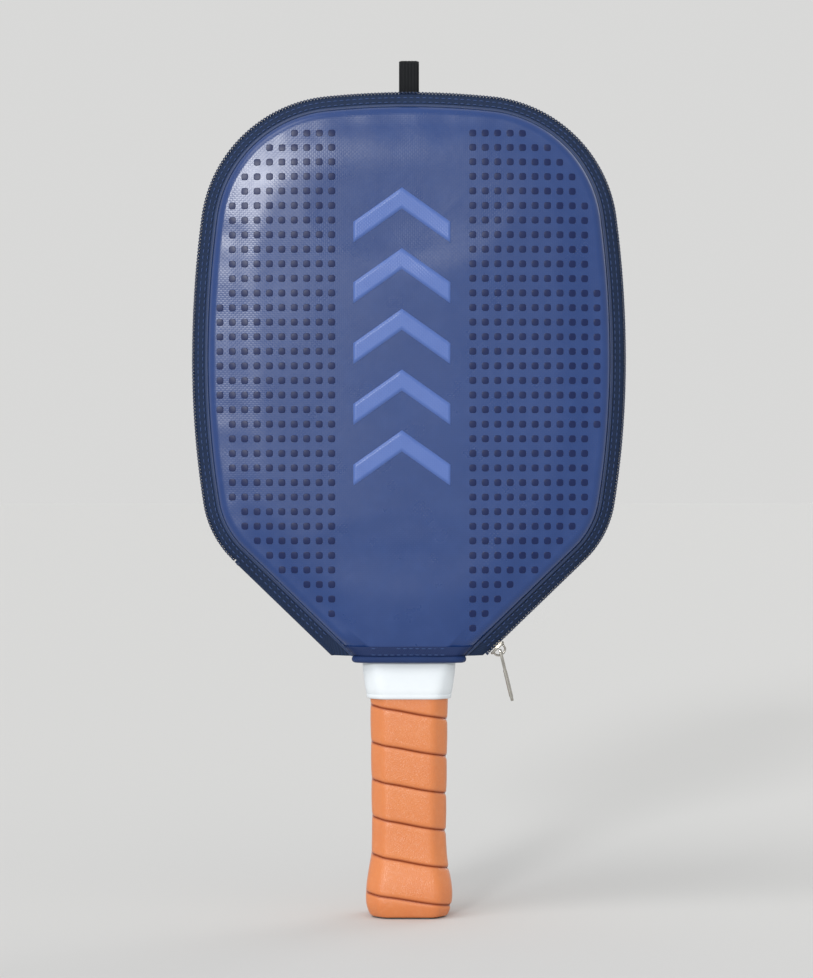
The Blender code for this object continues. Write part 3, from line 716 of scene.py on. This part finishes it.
def stitches(name, seats, material="navy_thread", radius=0.28 * MM):
    """Short threads; each seat is a start, an end and the way out of the cloth."""
    vertices, faces = [], []
    for start, end, out in seats:
        run = end - start
        along = run.normalized()
        out = (out - along * out.dot(along)).normalized()
        across = along.cross(out)
        faces += shifted(capped_faces(len(STITCH_RINGS), STITCH_SIDES), len(vertices))
        for share, lift, size in STITCH_RINGS:
            centre = start + run * share + out * lift * radius
            vertices += [centre + (across * c + out * s) * radius * size
                         for c, s in directions(STITCH_SIDES)]
    return fix_normals(mesh_object(name, vertices, faces, material))


def stitch_line(name, inset, height, side, out):
    """Stitches along the cover's outline at one place of its section; out is (inset, height)."""
    pitch, margin = 3.2 * MM, 4 * MM
    half_stitch = 0.34 * pitch
    count = int((COVER.length - 2 * margin) / pitch)
    marks = COVER.resampled(pitch, margin, margin + count * pitch)
    seats = []
    for place, normal in zip(marks.places[:-1], marks.normals[:-1]):
        x, z = place + normal * inset
        centre = Vector((x, side * height, z))
        half = Vector((-normal[1], 0, normal[0])) * half_stitch
        outward = Vector((normal[0] * out[0], side * out[1], normal[1] * out[0]))
        seats.append((centre - half, centre + half, outward))
    return stitches(name, seats)


# ------------------------ cover shells

def panel_profile():
    """The rounded edge of the padded panel, as (inset, height), from the piping to the flat."""
    points = [(9.0 * MM, 8.0 * MM), (8.95 * MM, 9.0 * MM)]
    for k in range(9):
        angle = radians(180 - 90 * k / 8)
        points.append((CORNER_INSET + CORNER_RADIUS * cos(angle),
                       CORNER_HEIGHT + CORNER_RADIUS * sin(angle)))
    points.append((PANEL_FLAT, PANEL_HEIGHT))
    return points


def shell_rings(profile, side, cut_z, rows, height_at):
    """Rings along a shell's edge profile, then rings that close in on the spine.

    height_at gives the height at a place, and at its share of the way to the spine.
    """
    rings = [[(x, side * height, z) for x, z in COVER_EVEN.inset(inset, cut_z)]
             for inset, height in profile]
    rim = COVER_EVEN.inset(profile[-1][0], cut_z)
    for row in range(1, rows + 1):
        share = row / rows
        ring = []
        for x, z in rim:
            goal_z = min(max(z, SPINE_LOW), SPINE_HIGH)
            px, pz = x * (1 - share), z + (goal_z - z) * share
            ring.append((px, side * height_at(px, pz, share), pz))
        rings.append(ring)
    return rings


def shell_sheet(name, rings, first_fan, material):
    """A sheet over a shell's rings, with the wedge between their ends at the mouth filled."""
    columns = 9
    fan = []
    for ring in rings[first_fan:]:
        start, end = np.array(ring[-1]), np.array(ring[0])
        fan.append([tuple(start + (end - start) * k / columns) for k in range(columns + 1)])
    faces = grid_faces(len(rings), len(rings[0]))
    faces += shifted(grid_faces(len(fan), columns + 1), len(rings) * len(rings[0]))
    sheet = mesh_object(name, [point for row in rings + fan for point in row], faces, material)
    shape = bmesh.new()
    shape.from_mesh(sheet.data)
    bmesh.ops.remove_doubles(shape, verts=shape.verts, dist=0.02 * MM)
    bmesh.ops.dissolve_degenerate(shape, dist=0.01 * MM, edges=shape.edges)
    shape.to_mesh(sheet.data)
    shape.free()
    return sheet


def vertex_insets(thing):
    return insets_of([(vertex.co.x, vertex.co.z) for vertex in thing.data.vertices])


def soften(panel, side):
    """Small puckers along the sewn edge and slow swells over the padded face."""
    pucker_size, pucker_depth = 8 * MM, 0.22 * MM
    swell_size, swell_depth = 42 * MM, 0.3 * MM
    for vertex, inset in zip(panel.data.vertices, vertex_insets(panel)):
        x, z = vertex.co.x, vertex.co.z
        over_mouth = min(1.0, max(0.0, z / MOUTH_Z - 1) * 9)
        sewn = exp(-abs(inset - 13 * MM) / (4 * MM)) * over_mouth
        padded = min(1.0, max(0.0, inset - 12 * MM) / (25 * MM))
        pucker = noise.noise(Vector((x, z, side * MM)) / pucker_size) * pucker_depth * sewn
        swell = noise.noise(Vector((x, z, side * 90 * MM)) / swell_size) * swell_depth * padded
        vertex.co.y += side * (pucker + swell)


def inflate(panel):
    """Lets the panel swell like filled cloth: light pressure, its sewn edges pinned."""
    vertices = panel.data.vertices
    pins = panel.vertex_groups.new(name="pins")
    for vertex, inset in zip(vertices, vertex_insets(panel)):
        # Held fast at the piping and the mouth, and let go over the next few millimetres.
        hold = max(1 - (inset - 9 * MM) / (4 * MM), 1 - (vertex.co.z - MOUTH_Z) / (3 * MM))
        if hold > 0:
            pins.add([vertex.index], min(1.0, hold), "REPLACE")
    cloth = panel.modifiers.new("Cloth", "CLOTH")
    settings = cloth.settings
    settings.vertex_group_mass = "pins"
    settings.quality = 5
    settings.mass = 0.15
    settings.tension_stiffness = settings.compression_stiffness = 25
    settings.shear_stiffness = 12
    settings.bending_stiffness = 10
    settings.shrink_min = CLOTH_EASE
    settings.use_pressure = True
    settings.uniform_pressure_force = CLOTH_PRESSURE
    settings.effector_weights.gravity = 0
    cloth.point_cache.frame_start = 1
    cloth.point_cache.frame_end = CLOTH_FRAMES
    before = [vertex.co.copy() for vertex in vertices]
    scene = bpy.context.scene
    for step in range(1, CLOTH_FRAMES + 1):
        scene.frame_set(step)
    settled = panel.evaluated_get(bpy.context.evaluated_depsgraph_get()).data
    moves = [vertex.co - old for vertex, old in zip(settled.vertices, before)]
    panel.modifiers.remove(cloth)
    panel.vertex_groups.clear()
    scene.frame_set(1)
    tree = KDTree(len(before))
    for index, point in enumerate(before):
        tree.insert(point, index)
    tree.balance()
    for vertex, old in zip(vertices, before):
        near = [index for _, index, _ in tree.find_range(old, CLOTH_BLEND)]
        move = sum((moves[index] for index in near), Vector()) / len(near)
        if move.length > CLOTH_REACH:
            move *= CLOTH_REACH / move.length
        vertex.co = old + move


def build_panel(label, side, body):
    """The padded outer panel: rounded edge, crowned face, closed behind by its thickness."""
    profile = panel_profile()
    rings = shell_rings(profile, side, cut_z=MOUTH_Z, rows=22, height_at=lambda x, z, share: (
        PANEL_HEIGHT + CROWN * (1 - (1 - share) ** 2.2)))
    panel = shell_sheet(f"{label}_panel_skin", rings, len(profile) - 1, "cover")
    soften(panel, side)
    fix_normals(panel, side)
    inflate(panel)
    thicken(panel, PANEL_SKIN)
    placed(panel, body, "cover_fabric", f"cover_{label}_panel")
    return panel


def facing(normal, side):
    """A normal of the panel, turned out of the shell."""
    return -normal if normal.y * side < 0 else normal


def height_on(tree, x, z, side):
    """Where a line along Y meets the panel's outer face, and the face's normal."""
    hit, normal, _, _ = tree.ray_cast(Vector((x, side * 60 * MM, z)), Vector((0, -side, 0)))
    return hit, facing(normal, side)


# Rings of one dot from its foot to its flat top: (share of the half size, height).
DOT_RINGS = ((1.04, -0.15 * MM), (1.0, 0.08 * MM), (0.92, 0.17 * MM), (0.82, 0.19 * MM))
DOT_SIDES = 16


def build_dots(label, side, body, tree):
    """Two fields of small raised glossy squares with rounded corners."""
    pitch_x, pitch_z = 6.15 * MM, 7.2 * MM
    half = 1.7 * MM
    edge_gap = 14.2 * MM
    columns = [31.5 * MM + pitch_x * k for k in range(11)]
    columns += [-38.2 * MM - pitch_x * k for k in range(11)]
    rows = [MOUTH_Z + 7 * MM + pitch_z * k for k in range(39)]
    places = [(x, z) for x in columns for z in rows]
    walls = grid_faces(len(DOT_RINGS), DOT_SIDES, wrap_columns=True)
    top = (len(DOT_RINGS) - 1) * DOT_SIDES
    dot_faces = walls + [list(range(top, top + DOT_SIDES))]
    vertices, faces = [], []
    for (x, z), inset in zip(places, insets_of(places)):
        if inset <= edge_gap:
            continue
        hit, normal = height_on(tree, x, z, side)
        right = (Vector((1, 0, 0)) - normal * normal.x).normalized()
        up = normal.cross(right)
        faces += shifted(dot_faces, len(vertices))
        for size, lift in DOT_RINGS:
            for k in range(DOT_SIDES):
                angle = tau * (k + 0.5) / DOT_SIDES
                ca, sa = cos(angle), sin(angle)
                reach = (abs(ca) ** 4 + abs(sa) ** 4) ** -0.25
                offset = right * (ca * reach) + up * (sa * reach)
                vertices.append(hit + offset * half * size + normal * lift)
    dots = fix_normals(mesh_object(f"{label}_dots", vertices, faces, "dot"))
    dots.data.set_sharp_from_angle(angle=radians(25))
    placed(dots, body, "cover_fabric")


def build_chevrons(side, body, tree):
    """A plain printed ornament: a column of chevrons on the centre band."""
    centre_x, first_z, pitch = -3.5 * MM, 214 * MM, 30 * MM
    half_width, stroke, rise = 24 * MM, 10.5 * MM, 17 * MM
    along, across = 36, 5
    vertices, faces = [], []
    for index in range(5):
        faces += shifted(grid_faces(along + 1, across + 1), len(vertices))
        for i in range(along + 1):
            share = 2 * i / along - 1
            low = first_z + index * pitch + rise * (1 - abs(share))
            for j in range(across + 1):
                hit, normal = height_on(tree, centre_x + half_width * share,
                                        low + stroke * j / across, side)
                vertices.append(hit + normal * 0.12 * MM)
    chevrons = fix_normals(mesh_object("front_chevrons", vertices, faces, "print"), side)
    thicken(chevrons, 0.3 * MM)
    placed(chevrons, body, "cover_fabric")


def build_edge(label, side, body):
    """Piping, zipper tape and its stitching round one shell."""
    cord = millimetres([(8.2 + 1.15 * c, 7.2 + 1.15 * s) for c, s in directions(12)])
    piping = swept(f"{label}_piping_cord", COVER_EVEN, cord, side, "piping", MOUTH_Z)
    placed(piping, body, "piping", f"{label}_piping")
    inner, outer = Vector((7.6 * MM, 6.2 * MM)), Vector((1.7 * MM, 1.45 * MM))
    along = (outer - inner).normalized()
    across = Vector((along.y, -along.x))
    half_thickness = 0.32 * MM
    steps = 9
    outer_face, inner_face = [], []
    for k in range(steps + 1):
        share = k / steps
        groove = exp(-((share - 0.78) / 0.05) ** 2)
        sag = 0.35 * MM * sin(pi * share) - 0.25 * MM * groove
        centre = inner + (outer - inner) * share + across * sag
        outer_face.append(tuple(centre + across * half_thickness))
        inner_face.append(tuple(centre - across * half_thickness))
    tape = swept(f"{label}_gusset_tape", COVER_EVEN, outer_face + inner_face[::-1], side, "tape",
                 MOUTH_Z)
    placed(tape, body, "zipper_tape", f"{label}_zipper_tape")
    for number, share in ((1, 0.2), (2, 0.62)):
        centre = inner + (outer - inner) * share + across * 0.62 * MM
        line = stitch_line(f"{label}_gusset_stitches_{number}", centre.x, centre.y, side, across)
        placed(line, body, "zipper_tape")


def build_coil(label, side, body):
    """One row of wound zipper coil, from the slider's end round to the sewn edge."""
    pitch, start, end = 1.7 * MM, 1.5 * MM, COVER.length - 66 * MM
    per_turn = 8
    turns = int((end - start) / pitch)
    path = COVER.resampled(pitch / per_turn, start, start + turns * pitch)
    phase = 0.0 if side == FRONT else pi
    angles = np.arange(len(path.places)) * tau / per_turn + phase
    inset = 0.85 * MM + 0.55 * MM * np.cos(angles)
    height = side * (1.0 * MM + 1.0 * MM * np.sin(angles))
    x, z = (path.places + path.normals * inset[:, None]).T
    coil = tube(f"{label}_coil_teeth", np.column_stack([x, height, z]), 0.3 * MM, "coil", 5)
    placed(coil, body, "zipper_coil", f"{label}_zipper_coil")


def mouth_arch(z, drop=0.0):
    """The panel's outer face across the mouth at this level, right to left, as (x, height)."""
    slant_x = COVER.places[0][0] + (z - MOUTH_Z) * slant_lean()
    level_share = 1 / -COVER.normals[0][0]
    legs = [(slant_x - level_share * (inset - 0.3 * MM), height - drop)
            for inset, height in panel_profile()[1:]]
    reach, flat = legs[-1]
    middle = [(x, flat + 0.5 * MM * (1 - (x / reach) ** 2))
              for x in np.linspace(reach, -reach, 24)[1:-1]]
    return legs + middle + [(-x, height) for x, height in legs[::-1]]


def build_mouth(label, side, body, tree):
    """The rolled edge under the mouth, the sewn band above it and the band's stitches."""
    points = [(x, side * height, MOUTH_Z - 1.4 * MM) for x, height in mouth_arch(MOUTH_Z, 0.6 * MM)]
    hem = tube(f"{label}_rolled_hem", points, 1.75 * MM, "hem", 14)
    placed(hem, body, "piping", f"{label}_mouth_hem")

    def on_panel(x, height, z, lift):
        place, normal, _, _ = tree.find_nearest(Vector((x, side * height, z)))
        normal = facing(normal, side)
        return place + normal * lift, normal

    levels = np.linspace(MOUTH_Z + 0.15 * MM, MOUTH_Z + 5.0 * MM, 6)
    vertices, uvs = [], []
    for z in levels:
        arch = mouth_arch(z)[1:-1]
        vertices += [on_panel(x, height, z, 0.35 * MM)[0] for x, height in arch]
        uvs += [(x, z) for x, _ in arch]
    faces = grid_faces(len(levels), len(arch))
    band = fix_normals(mesh_object(f"{label}_hem_band", vertices, faces, "band", uvs), side)
    thicken(band, 0.5 * MM)
    placed(band, body, "piping")
    stitch = 2.1 * MM
    seats = []
    for z in (levels[-1] - 0.9 * MM, levels[0] + 0.8 * MM):
        for x in np.arange(-18.6 * MM, 16.5 * MM, 3.1 * MM):
            (start, out), (end, _) = [on_panel(at, PANEL_HEIGHT, z, 0.4 * MM)
                                      for at in (x, x + stitch)]
            seats.append((start, end, out))
    placed(stitches(f"{label}_hem_stitches", seats), body, "piping")


def quilt_groove(x, z):
    """0 on top of a quilted diamond, 1 at the stitched lines between them."""
    pitch = 24 * MM
    puff = abs(sin((x + z) * pi / pitch) * sin((x - z) * pi / pitch))
    return 1 - puff ** 0.5


def build_inner_pad(label, side, body):
    """The quilted lining over its foam, inside one shell."""
    profile = millimetres([(10.4, 10.4), (11.4, 9.7), (13.0, 9.2), (15.5, 8.95)])
    face, relief = 8.8 * MM, 1.5 * MM
    rings = shell_rings(profile, side, cut_z=MOUTH_Z + 4 * MM, rows=40, height_at=(
        lambda x, z, share: face + relief * quilt_groove(x, z)))
    pad = shell_sheet(f"{label}_quilted_lining", rings, 0, "lining")
    # The groove depth is also the mask for the lining's painted shade.
    add_weights(pad, [quilt_groove(vertex.co.x, vertex.co.z) for vertex in pad.data.vertices])
    fix_normals(pad, -side)
    thicken(pad, 2.0 * MM)
    placed(pad, body, "lining", f"{label}_lining", f"{label}_foam_pad")


def build_shell(label, side, body):
    """Everything that rides on one shell of the cover."""
    panel = build_panel(label, side, body)
    tree = BVHTree.FromObject(panel, bpy.context.evaluated_depsgraph_get())
    build_dots(label, side, body, tree)
    build_mouth(label, side, body, tree)
    if side == FRONT:
        build_chevrons(side, body, tree)
    build_edge(label, side, body)
    build_coil(label, side, body)
    build_inner_pad(label, side, body)


# ------------------------ zipper hardware

def build_slider():
    """Slider: two shaped wings, the post between them and the bridge that holds the pull."""
    centre = 6.2 * MM
    wing = rounded_outline([(-4.4, -2.2), (0.6, -3.0), (4.5, -2.6), (4.5, 2.6), (0.6, 3.0),
                            (-4.4, 2.2)], [1.2, 2.0, 1.4, 1.4, 2.0, 1.2])
    inner_wing = [(x * 0.95, y * 0.42) for x, y in wing]
    post = millimetres([(-1.0, -0.28), (3.4, -0.28), (3.4, 0.28), (-1.0, 0.28)])
    pieces = [
        slab("slider_outer", wing, 1.15 * MM, slant_frame(centre, -0.92 * MM), 0.35 * MM),
        slab("slider_inner", inner_wing, 0.9 * MM, slant_frame(centre, 2.4 * MM), 0.25 * MM),
        slab("slider_post", post, 2.6 * MM, slant_frame(centre, 0.8 * MM), 0.1 * MM)]
    middle = slant_frame(centre, 0)
    arch = []
    for k in range(17):
        angle = pi * k / 16
        arch.append(middle @ Vector((-3.1 * MM * cos(angle), 0,
                                     1.4 * MM + 3.5 * MM * sin(angle) ** 0.7)))
    pieces.append(tube("slider_arch", arch, 0.55 * MM, "metal", 10))
    placed(joined("slider", pieces), SLIDER, "zip_metal", "slider_body", "slider_bridge")


def build_pull():
    """Pull tab: a slotted shank on the bridge and a flat bar with a raised rim."""
    axis = Vector(next(j["pos_m"] for j in frame["joints"] if j["name"] == "pull_swing"))
    matrix = Matrix.Translation(axis)
    for turn, line in ((-13.5, "Y"), (90, "Z"), (90, "X")):
        matrix = matrix @ Matrix.Rotation(radians(turn), 4, line)
    outline = rounded_outline([(2.52, 0.75), (-2.52, 0.75), (-2.66, -5), (-1.96, -8), (-2.8, -25.8),
                               (2.8, -25.8), (1.96, -8), (2.66, -5)],
                              [0.9, 0.9, 1.6, 2.0, 2.0, 2.0, 2.0, 1.6])
    slot = rounded_outline([(1.3, -0.75), (-1.3, -0.75), (-1.3, -4.9), (1.3, -4.9)], [0.5] * 4)
    rim = rounded_outline([(-1.5, -10), (1.5, -10), (1.9, -23.6), (-1.9, -23.6)], [1.2] * 4)
    pieces = [slab("pull_bar", outline, 1.5 * MM, matrix, 0.3 * MM, slot)]
    for face in (-1, 1):
        loop = [matrix @ Vector((x, y, face * 0.72 * MM)) for x, y in rim]
        pieces.append(tube(f"pull_rim_{face}", loop, 0.22 * MM, "metal", 6, closed=True))
    placed(joined("zipper_pull_tab", pieces), PULL, "zip_metal", "pull_tab")


def build_hinge_cloth():
    """The sewn fold along the lower left slant: a strip of cloth rolled in a half tube between the
    two shells.
    """
    end = slant_length() - 1.5 * MM
    rows, columns = 40, 14
    vertices, uvs = [], []
    for i in range(rows + 1):
        for j in range(columns + 1):
            angle = pi * (j / columns - 0.5)
            inset = 1.9 * MM - 1.6 * MM * cos(angle)
            # The lower end is cut level with the mouth.
            start = 0.1 * MM - inset * slant_lean()
            distance = start + (end - start) * i / rows
            vertices.append(slant_place(distance, inset, 1.75 * MM * sin(angle), -1))
            uvs.append((distance, 1.8 * MM * angle))
    faces = grid_faces(rows + 1, columns + 1)
    cloth = fix_normals(mesh_object("hinge_cloth", vertices, faces, "tape", uvs))
    thicken(cloth, 0.5 * MM, 0)
    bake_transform(cloth)
    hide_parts("hinge_fold")


def loop_route(low, high, thickness):
    """The middle line of the loop's webbing, up the front, over and down the back, as (y, z)."""
    centre_y = (low[1] + high[1]) / 2
    radius = (high[1] - low[1] - thickness) / 2
    turn_z = high[2] - thickness / 2 - radius
    front_foot = low[2] + LOOP_STEP
    route = []
    for k in range(10):
        bulge = 0.5 * MM * sin(pi * k / 10)
        route.append((centre_y - radius - bulge, front_foot + (turn_z - front_foot) * k / 10))
    for k in range(17):
        angle = pi * k / 16
        route.append((centre_y - radius * cos(angle), turn_z + radius * sin(angle)))
    for k in range(1, 13):
        bulge = 0.4 * MM * sin(pi * k / 12)
        route.append((centre_y + radius + bulge, turn_z + (low[2] - turn_z) * k / 12))
    return np.array(route)


def build_loop():
    """Hanging loop: folded webbing with soft edges, sewn down at its foot."""
    low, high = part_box("hanging_loop")
    half_width = (high[0] - low[0]) / 2
    thickness = 1.6 * MM
    route = loop_route(low, high, thickness)
    tangents = np.gradient(route, axis=0)
    tangents /= np.linalg.norm(tangents, axis=1)[:, None]
    runs = np.concatenate([[0], np.cumsum(np.linalg.norm(np.diff(route, axis=0), axis=1))])
    across = np.linspace(-1, 1, 15)
    vertices, uvs = [], []
    for (y, z), (ty, tz), run in zip(route, tangents, runs):
        for face in (1, -1):
            for share in across[::face]:
                half = thickness / 2 * (1 - 0.55 * abs(share) ** 8)
                lift = face * (half + 0.07 * MM * cos(share * pi * 6))
                vertices.append((share * half_width, y - tz * lift, z + ty * lift))
                uvs.append((run, share * half_width))
    loop = lofted("webbing_loop", vertices, 2 * len(across), "webbing", uvs)
    placed(loop, ROOT, "webbing", "hanging_loop")
    y = low[1] - 0.25 * MM
    seats = []
    for z in (route[0][1] + 1.2 * MM, route[0][1] + 2.6 * MM):
        for x in np.arange(-3.8 * MM, 3.4 * MM, 1.9 * MM):
            start = Vector((x, y, z))
            seats.append((start, start + Vector((1.3 * MM, 0, 0)), Vector((0, -1, 0))))
    placed(stitches("loop_stitches", seats, "black_thread", 0.22 * MM), ROOT, "webbing")


# ------------------------ grip

def grip_half_width(z):
    """The grip's half width at a height, smoothed between the profile's places."""
    spread = np.linspace(-3, 3, 7) * MM
    return float(np.mean(np.interp(z + spread, GRIP_PROFILE[:, 0], GRIP_PROFILE[:, 1])))


def octagon_reach(half_width, half_depth, chamfer, direction, softness=26):
    """Distance from the axis to a softly cornered octagon in one direction."""
    c, s = abs(direction[0]), abs(direction[1])
    walls = (c / half_width, s / half_depth, (c + s) / (half_width + half_depth - chamfer))
    return sum(wall ** softness for wall in walls) ** (-1 / softness)


def grip_point(z, direction, lift):
    """A place on the grip, lifted off its profile; its last 2 mm draw in at the butt."""
    half_width = grip_half_width(z)
    reach = octagon_reach(half_width, half_width - GRIP_FLATNESS, GRIP_CHAMFER, direction)
    reach += lift - 1.3 * MM * max(0.0, 1 - z / (2.0 * MM)) ** 2
    return (reach * direction[0], reach * direction[1], z)


def build_wrap():
    """The grip tape: one padded ribbon wound as a helix, its edges tucked into the seams, which
    carry painted shade.
    """
    low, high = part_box("grip_wrap")
    bottom, top = low[2] - 0.7 * MM, high[2]
    around, rows = 96, 15
    first = -int((top - WRAP_FIRST_SEAM) / WRAP_PITCH + 2) * around
    last = round((WRAP_FIRST_SEAM + WRAP_PITCH - bottom) / WRAP_PITCH * around)
    vertices, seam = [], []
    for step in range(first, last):
        turned = step / around
        lower = WRAP_FIRST_SEAM - WRAP_PITCH * turned
        upper = lower + WRAP_PITCH
        start, end = max(lower, bottom), min(upper, top)
        if end - start < 0.4 * MM:
            continue
        angle = tau * turned - pi / 2
        direction = (cos(angle), sin(angle))
        outer = []
        for row in range(rows):
            share = row / (rows - 1)
            ease = 0.5 - 0.5 * cos(pi * share)
            z = start + (end - start) * (0.35 * share + 0.65 * ease)
            to_lower, to_upper = z - lower, upper - z
            dip = 0.85 * exp(-(to_lower / (0.75 * MM)) ** 2)
            dip += 0.5 * exp(-(to_upper / (0.9 * MM)) ** 2)
            puff = 0.22 * sin(pi * min(1.0, max(0.0, to_lower / WRAP_PITCH)))
            outer.append(grip_point(z, direction, (puff - dip) * MM))
            # Weights for painted shade, highest where the tape dips at both edges.
            seam.append(max(exp(-(to_lower / (0.9 * MM)) ** 2),
                            exp(-(to_upper / (0.6 * MM)) ** 2)))
        inner = []
        for x, y, z in outer[::-1]:
            shrink = 1 - WRAP_THICKNESS / hypot(x, y)
            inner.append((x * shrink, y * shrink, z))
        vertices += outer + inner
        seam += [0.0] * rows
    wrap = lofted("wound_grip", vertices, 2 * rows, "grip")
    add_weights(wrap, seam)
    placed(wrap, ROOT, "grip_wrap", "grip_wrap")


def turned_octagon(name, levels, material, sides=96):
    """A solid of soft octagonal sections: levels are (z, half width, half depth, chamfer)."""
    vertices = []
    for z, half_width, half_depth, chamfer in levels:
        for c, s in directions(sides):
            reach = octagon_reach(half_width, half_depth, chamfer, (c, s))
            vertices.append((reach * c, reach * s, z))
    return lofted(name, vertices, sides, material, sharp=50)


def build_collar():
    """The rubber collar that holds the wrap's top end."""
    low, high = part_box("grip_collar")
    height = (high[2] - low[2]) / MM
    # Up the outside and down the inside, in millimetres, with heights over the collar's foot.
    outside = [(0, 20.2, 16.2), (0.25, 20.75, 16.75), (0.9, 21.1, 17.0), (1.9, 21.15, 16.85),
               (2.3, 20.95, 16.6), (2.7, 21.25, 16.7), (6, 21.9, 15.9), (9.5, 22.4, 14.7),
               (13, 22.9, 13.2), (16.5, 23.2, 11.7), (height - 0.8, 23.4, 10.4),
               (height, 23.0, 9.9)]
    levels = [(z, across, deep, min(6.5, deep * 0.45)) for z, across, deep in outside]
    levels += [(height - 0.1, 19.2, 9.0, 3.0), (2.2, 19.4, 13.8, 5.0)]
    levels = [(low[2] + z, *sizes) for z, *sizes in millimetres(levels)]
    collar = turned_octagon("rubber_collar", levels, "collar")
    placed(collar, ROOT, "collar", "grip_collar")


def build_butt():
    """The butt's end: a rubber disc with a raised plain ring."""
    rim = 16.2
    edge = millimetres([(0.45, rim + 0.6), (0.15, rim + 0.2), (0.0, rim - 0.5), (0.0, 13.2),
                        (0.25, 12.9), (0.25, 12.1), (0.0, 11.8), (0.0, 8.0)])
    hidden = (rim + 0.4) * MM
    levels = [(2.0 * MM, hidden, hidden - GRIP_FLATNESS, GRIP_CHAMFER)]
    levels += [(z, half, half - GRIP_FLATNESS, min(GRIP_CHAMFER, half * 0.34)) for z, half in edge]
    disc = turned_octagon("butt_end", levels, "butt")
    placed(disc, ROOT, "butt_cap", "butt_disc")


# ------------------------ paddle

def build_guard():
    """The blade's edge guard: a moulded channel with rounded lips."""
    section = millimetres([(0.0, 0.0), (0.0, 1.4), (0.35, 3.0), (1.1, 4.6), (2.3, 6.1), (3.6, 7.2),
                           (5.0, 7.9), (7.0, 8.25), (9.2, 8.38), (9.9, 8.1), (10.0, 7.6),
                           (5.6, 7.55)])
    section += [(inset, -height) for inset, height in section[:0:-1]]
    guard = swept("blade_edge_guard", PADDLE.resampled(EVEN_SPACING), section, FRONT, "guard")
    placed(guard, ROOT, "edge_guard", "edge_guard")


def build_face_lines():
    """A thin plain line printed round each face of the blade."""
    path = PADDLE.resampled(4 * MM, 12 * MM, PADDLE.length - 12 * MM)
    section = millimetres([(22, 7.15), (22, 7.27), (23.4, 7.27), (23.4, 7.15)])
    for label, side, _ in SIDES:
        placed(swept(f"face_line_{label}", path, section, side, "print"), ROOT, "face_sheet")


CAD_FINISHES = {
    "honeycomb_core": "core", "handle_tang": "core", "face_sheet_front": "carbon",
    "face_sheet_back": "carbon", "handle_pallet_front": "wood", "handle_pallet_back": "wood",
    "grip_cushion": "foam", "butt_cap": "butt", "zipper_bottom_stop": "dark_metal",
    "zipper_top_stop": "dark_metal",
}


def finish_cad_nodes():
    """Gives the CAD nodes that stay in sight their materials."""
    for name, key in CAD_FINISHES.items():
        materials = frame["nodes"][name].data.materials
        materials.clear()
        materials.append(MATERIAL[key])


# ------------------------ stage

# Far soft lamps: (name, direction it shines from, strength, angle across in degrees).
LAMPS = (("front_soft", (-0.27, -0.93, 0.25), 1.3, 9), ("top_soft", (-0.5, -0.45, 0.74), 0.8, 35),
         ("back_soft", (0.6, 0.7, 0.4), 0.5, 35))


def build_stage():
    """Pale floor, pale world, soft lights and the camera."""
    reach, level = 40.0, -0.2 * MM
    corners = [(x * reach, y * reach, level) for x, y in ((-1, -1), (1, -1), (1, 1), (-1, 1))]
    mesh_object("floor", corners, [[0, 1, 2, 3]], "floor")

    scene = bpy.context.scene
    scene.world = bpy.data.worlds.new("studio")
    scene.world.use_nodes = True
    background = scene.world.node_tree.nodes["Background"]
    background.inputs["Color"].default_value = (1.0, 1.0, 0.99, 1)
    background.inputs["Strength"].default_value = 0.69

    for name, direction, strength, spread in LAMPS:
        lamp = bpy.data.lights.new(name, "SUN")
        lamp.energy = strength
        lamp.angle = radians(spread)
        light = add_object(name, lamp)
        light.rotation_euler = (-Vector(direction)).to_track_quat("-Z", "Y").to_euler()

    lens = bpy.data.cameras.new("camera")
    lens.lens = 100
    lens.sensor_width = 36
    camera = add_object("camera", lens)
    camera.location = (-1.25 * MM, -1.358, 212.5 * MM)
    camera.rotation_euler = (pi / 2, 0, 0)
    scene.camera = camera
    scene.view_settings.view_transform = "Standard"


# ------------------------ build

build_stage()
finish_cad_nodes()
for shell in SIDES:
    build_shell(*shell)
build_slider()
build_pull()
build_hinge_cloth()
build_loop()
build_wrap()
build_collar()
build_butt()
build_guard()
build_face_lines()
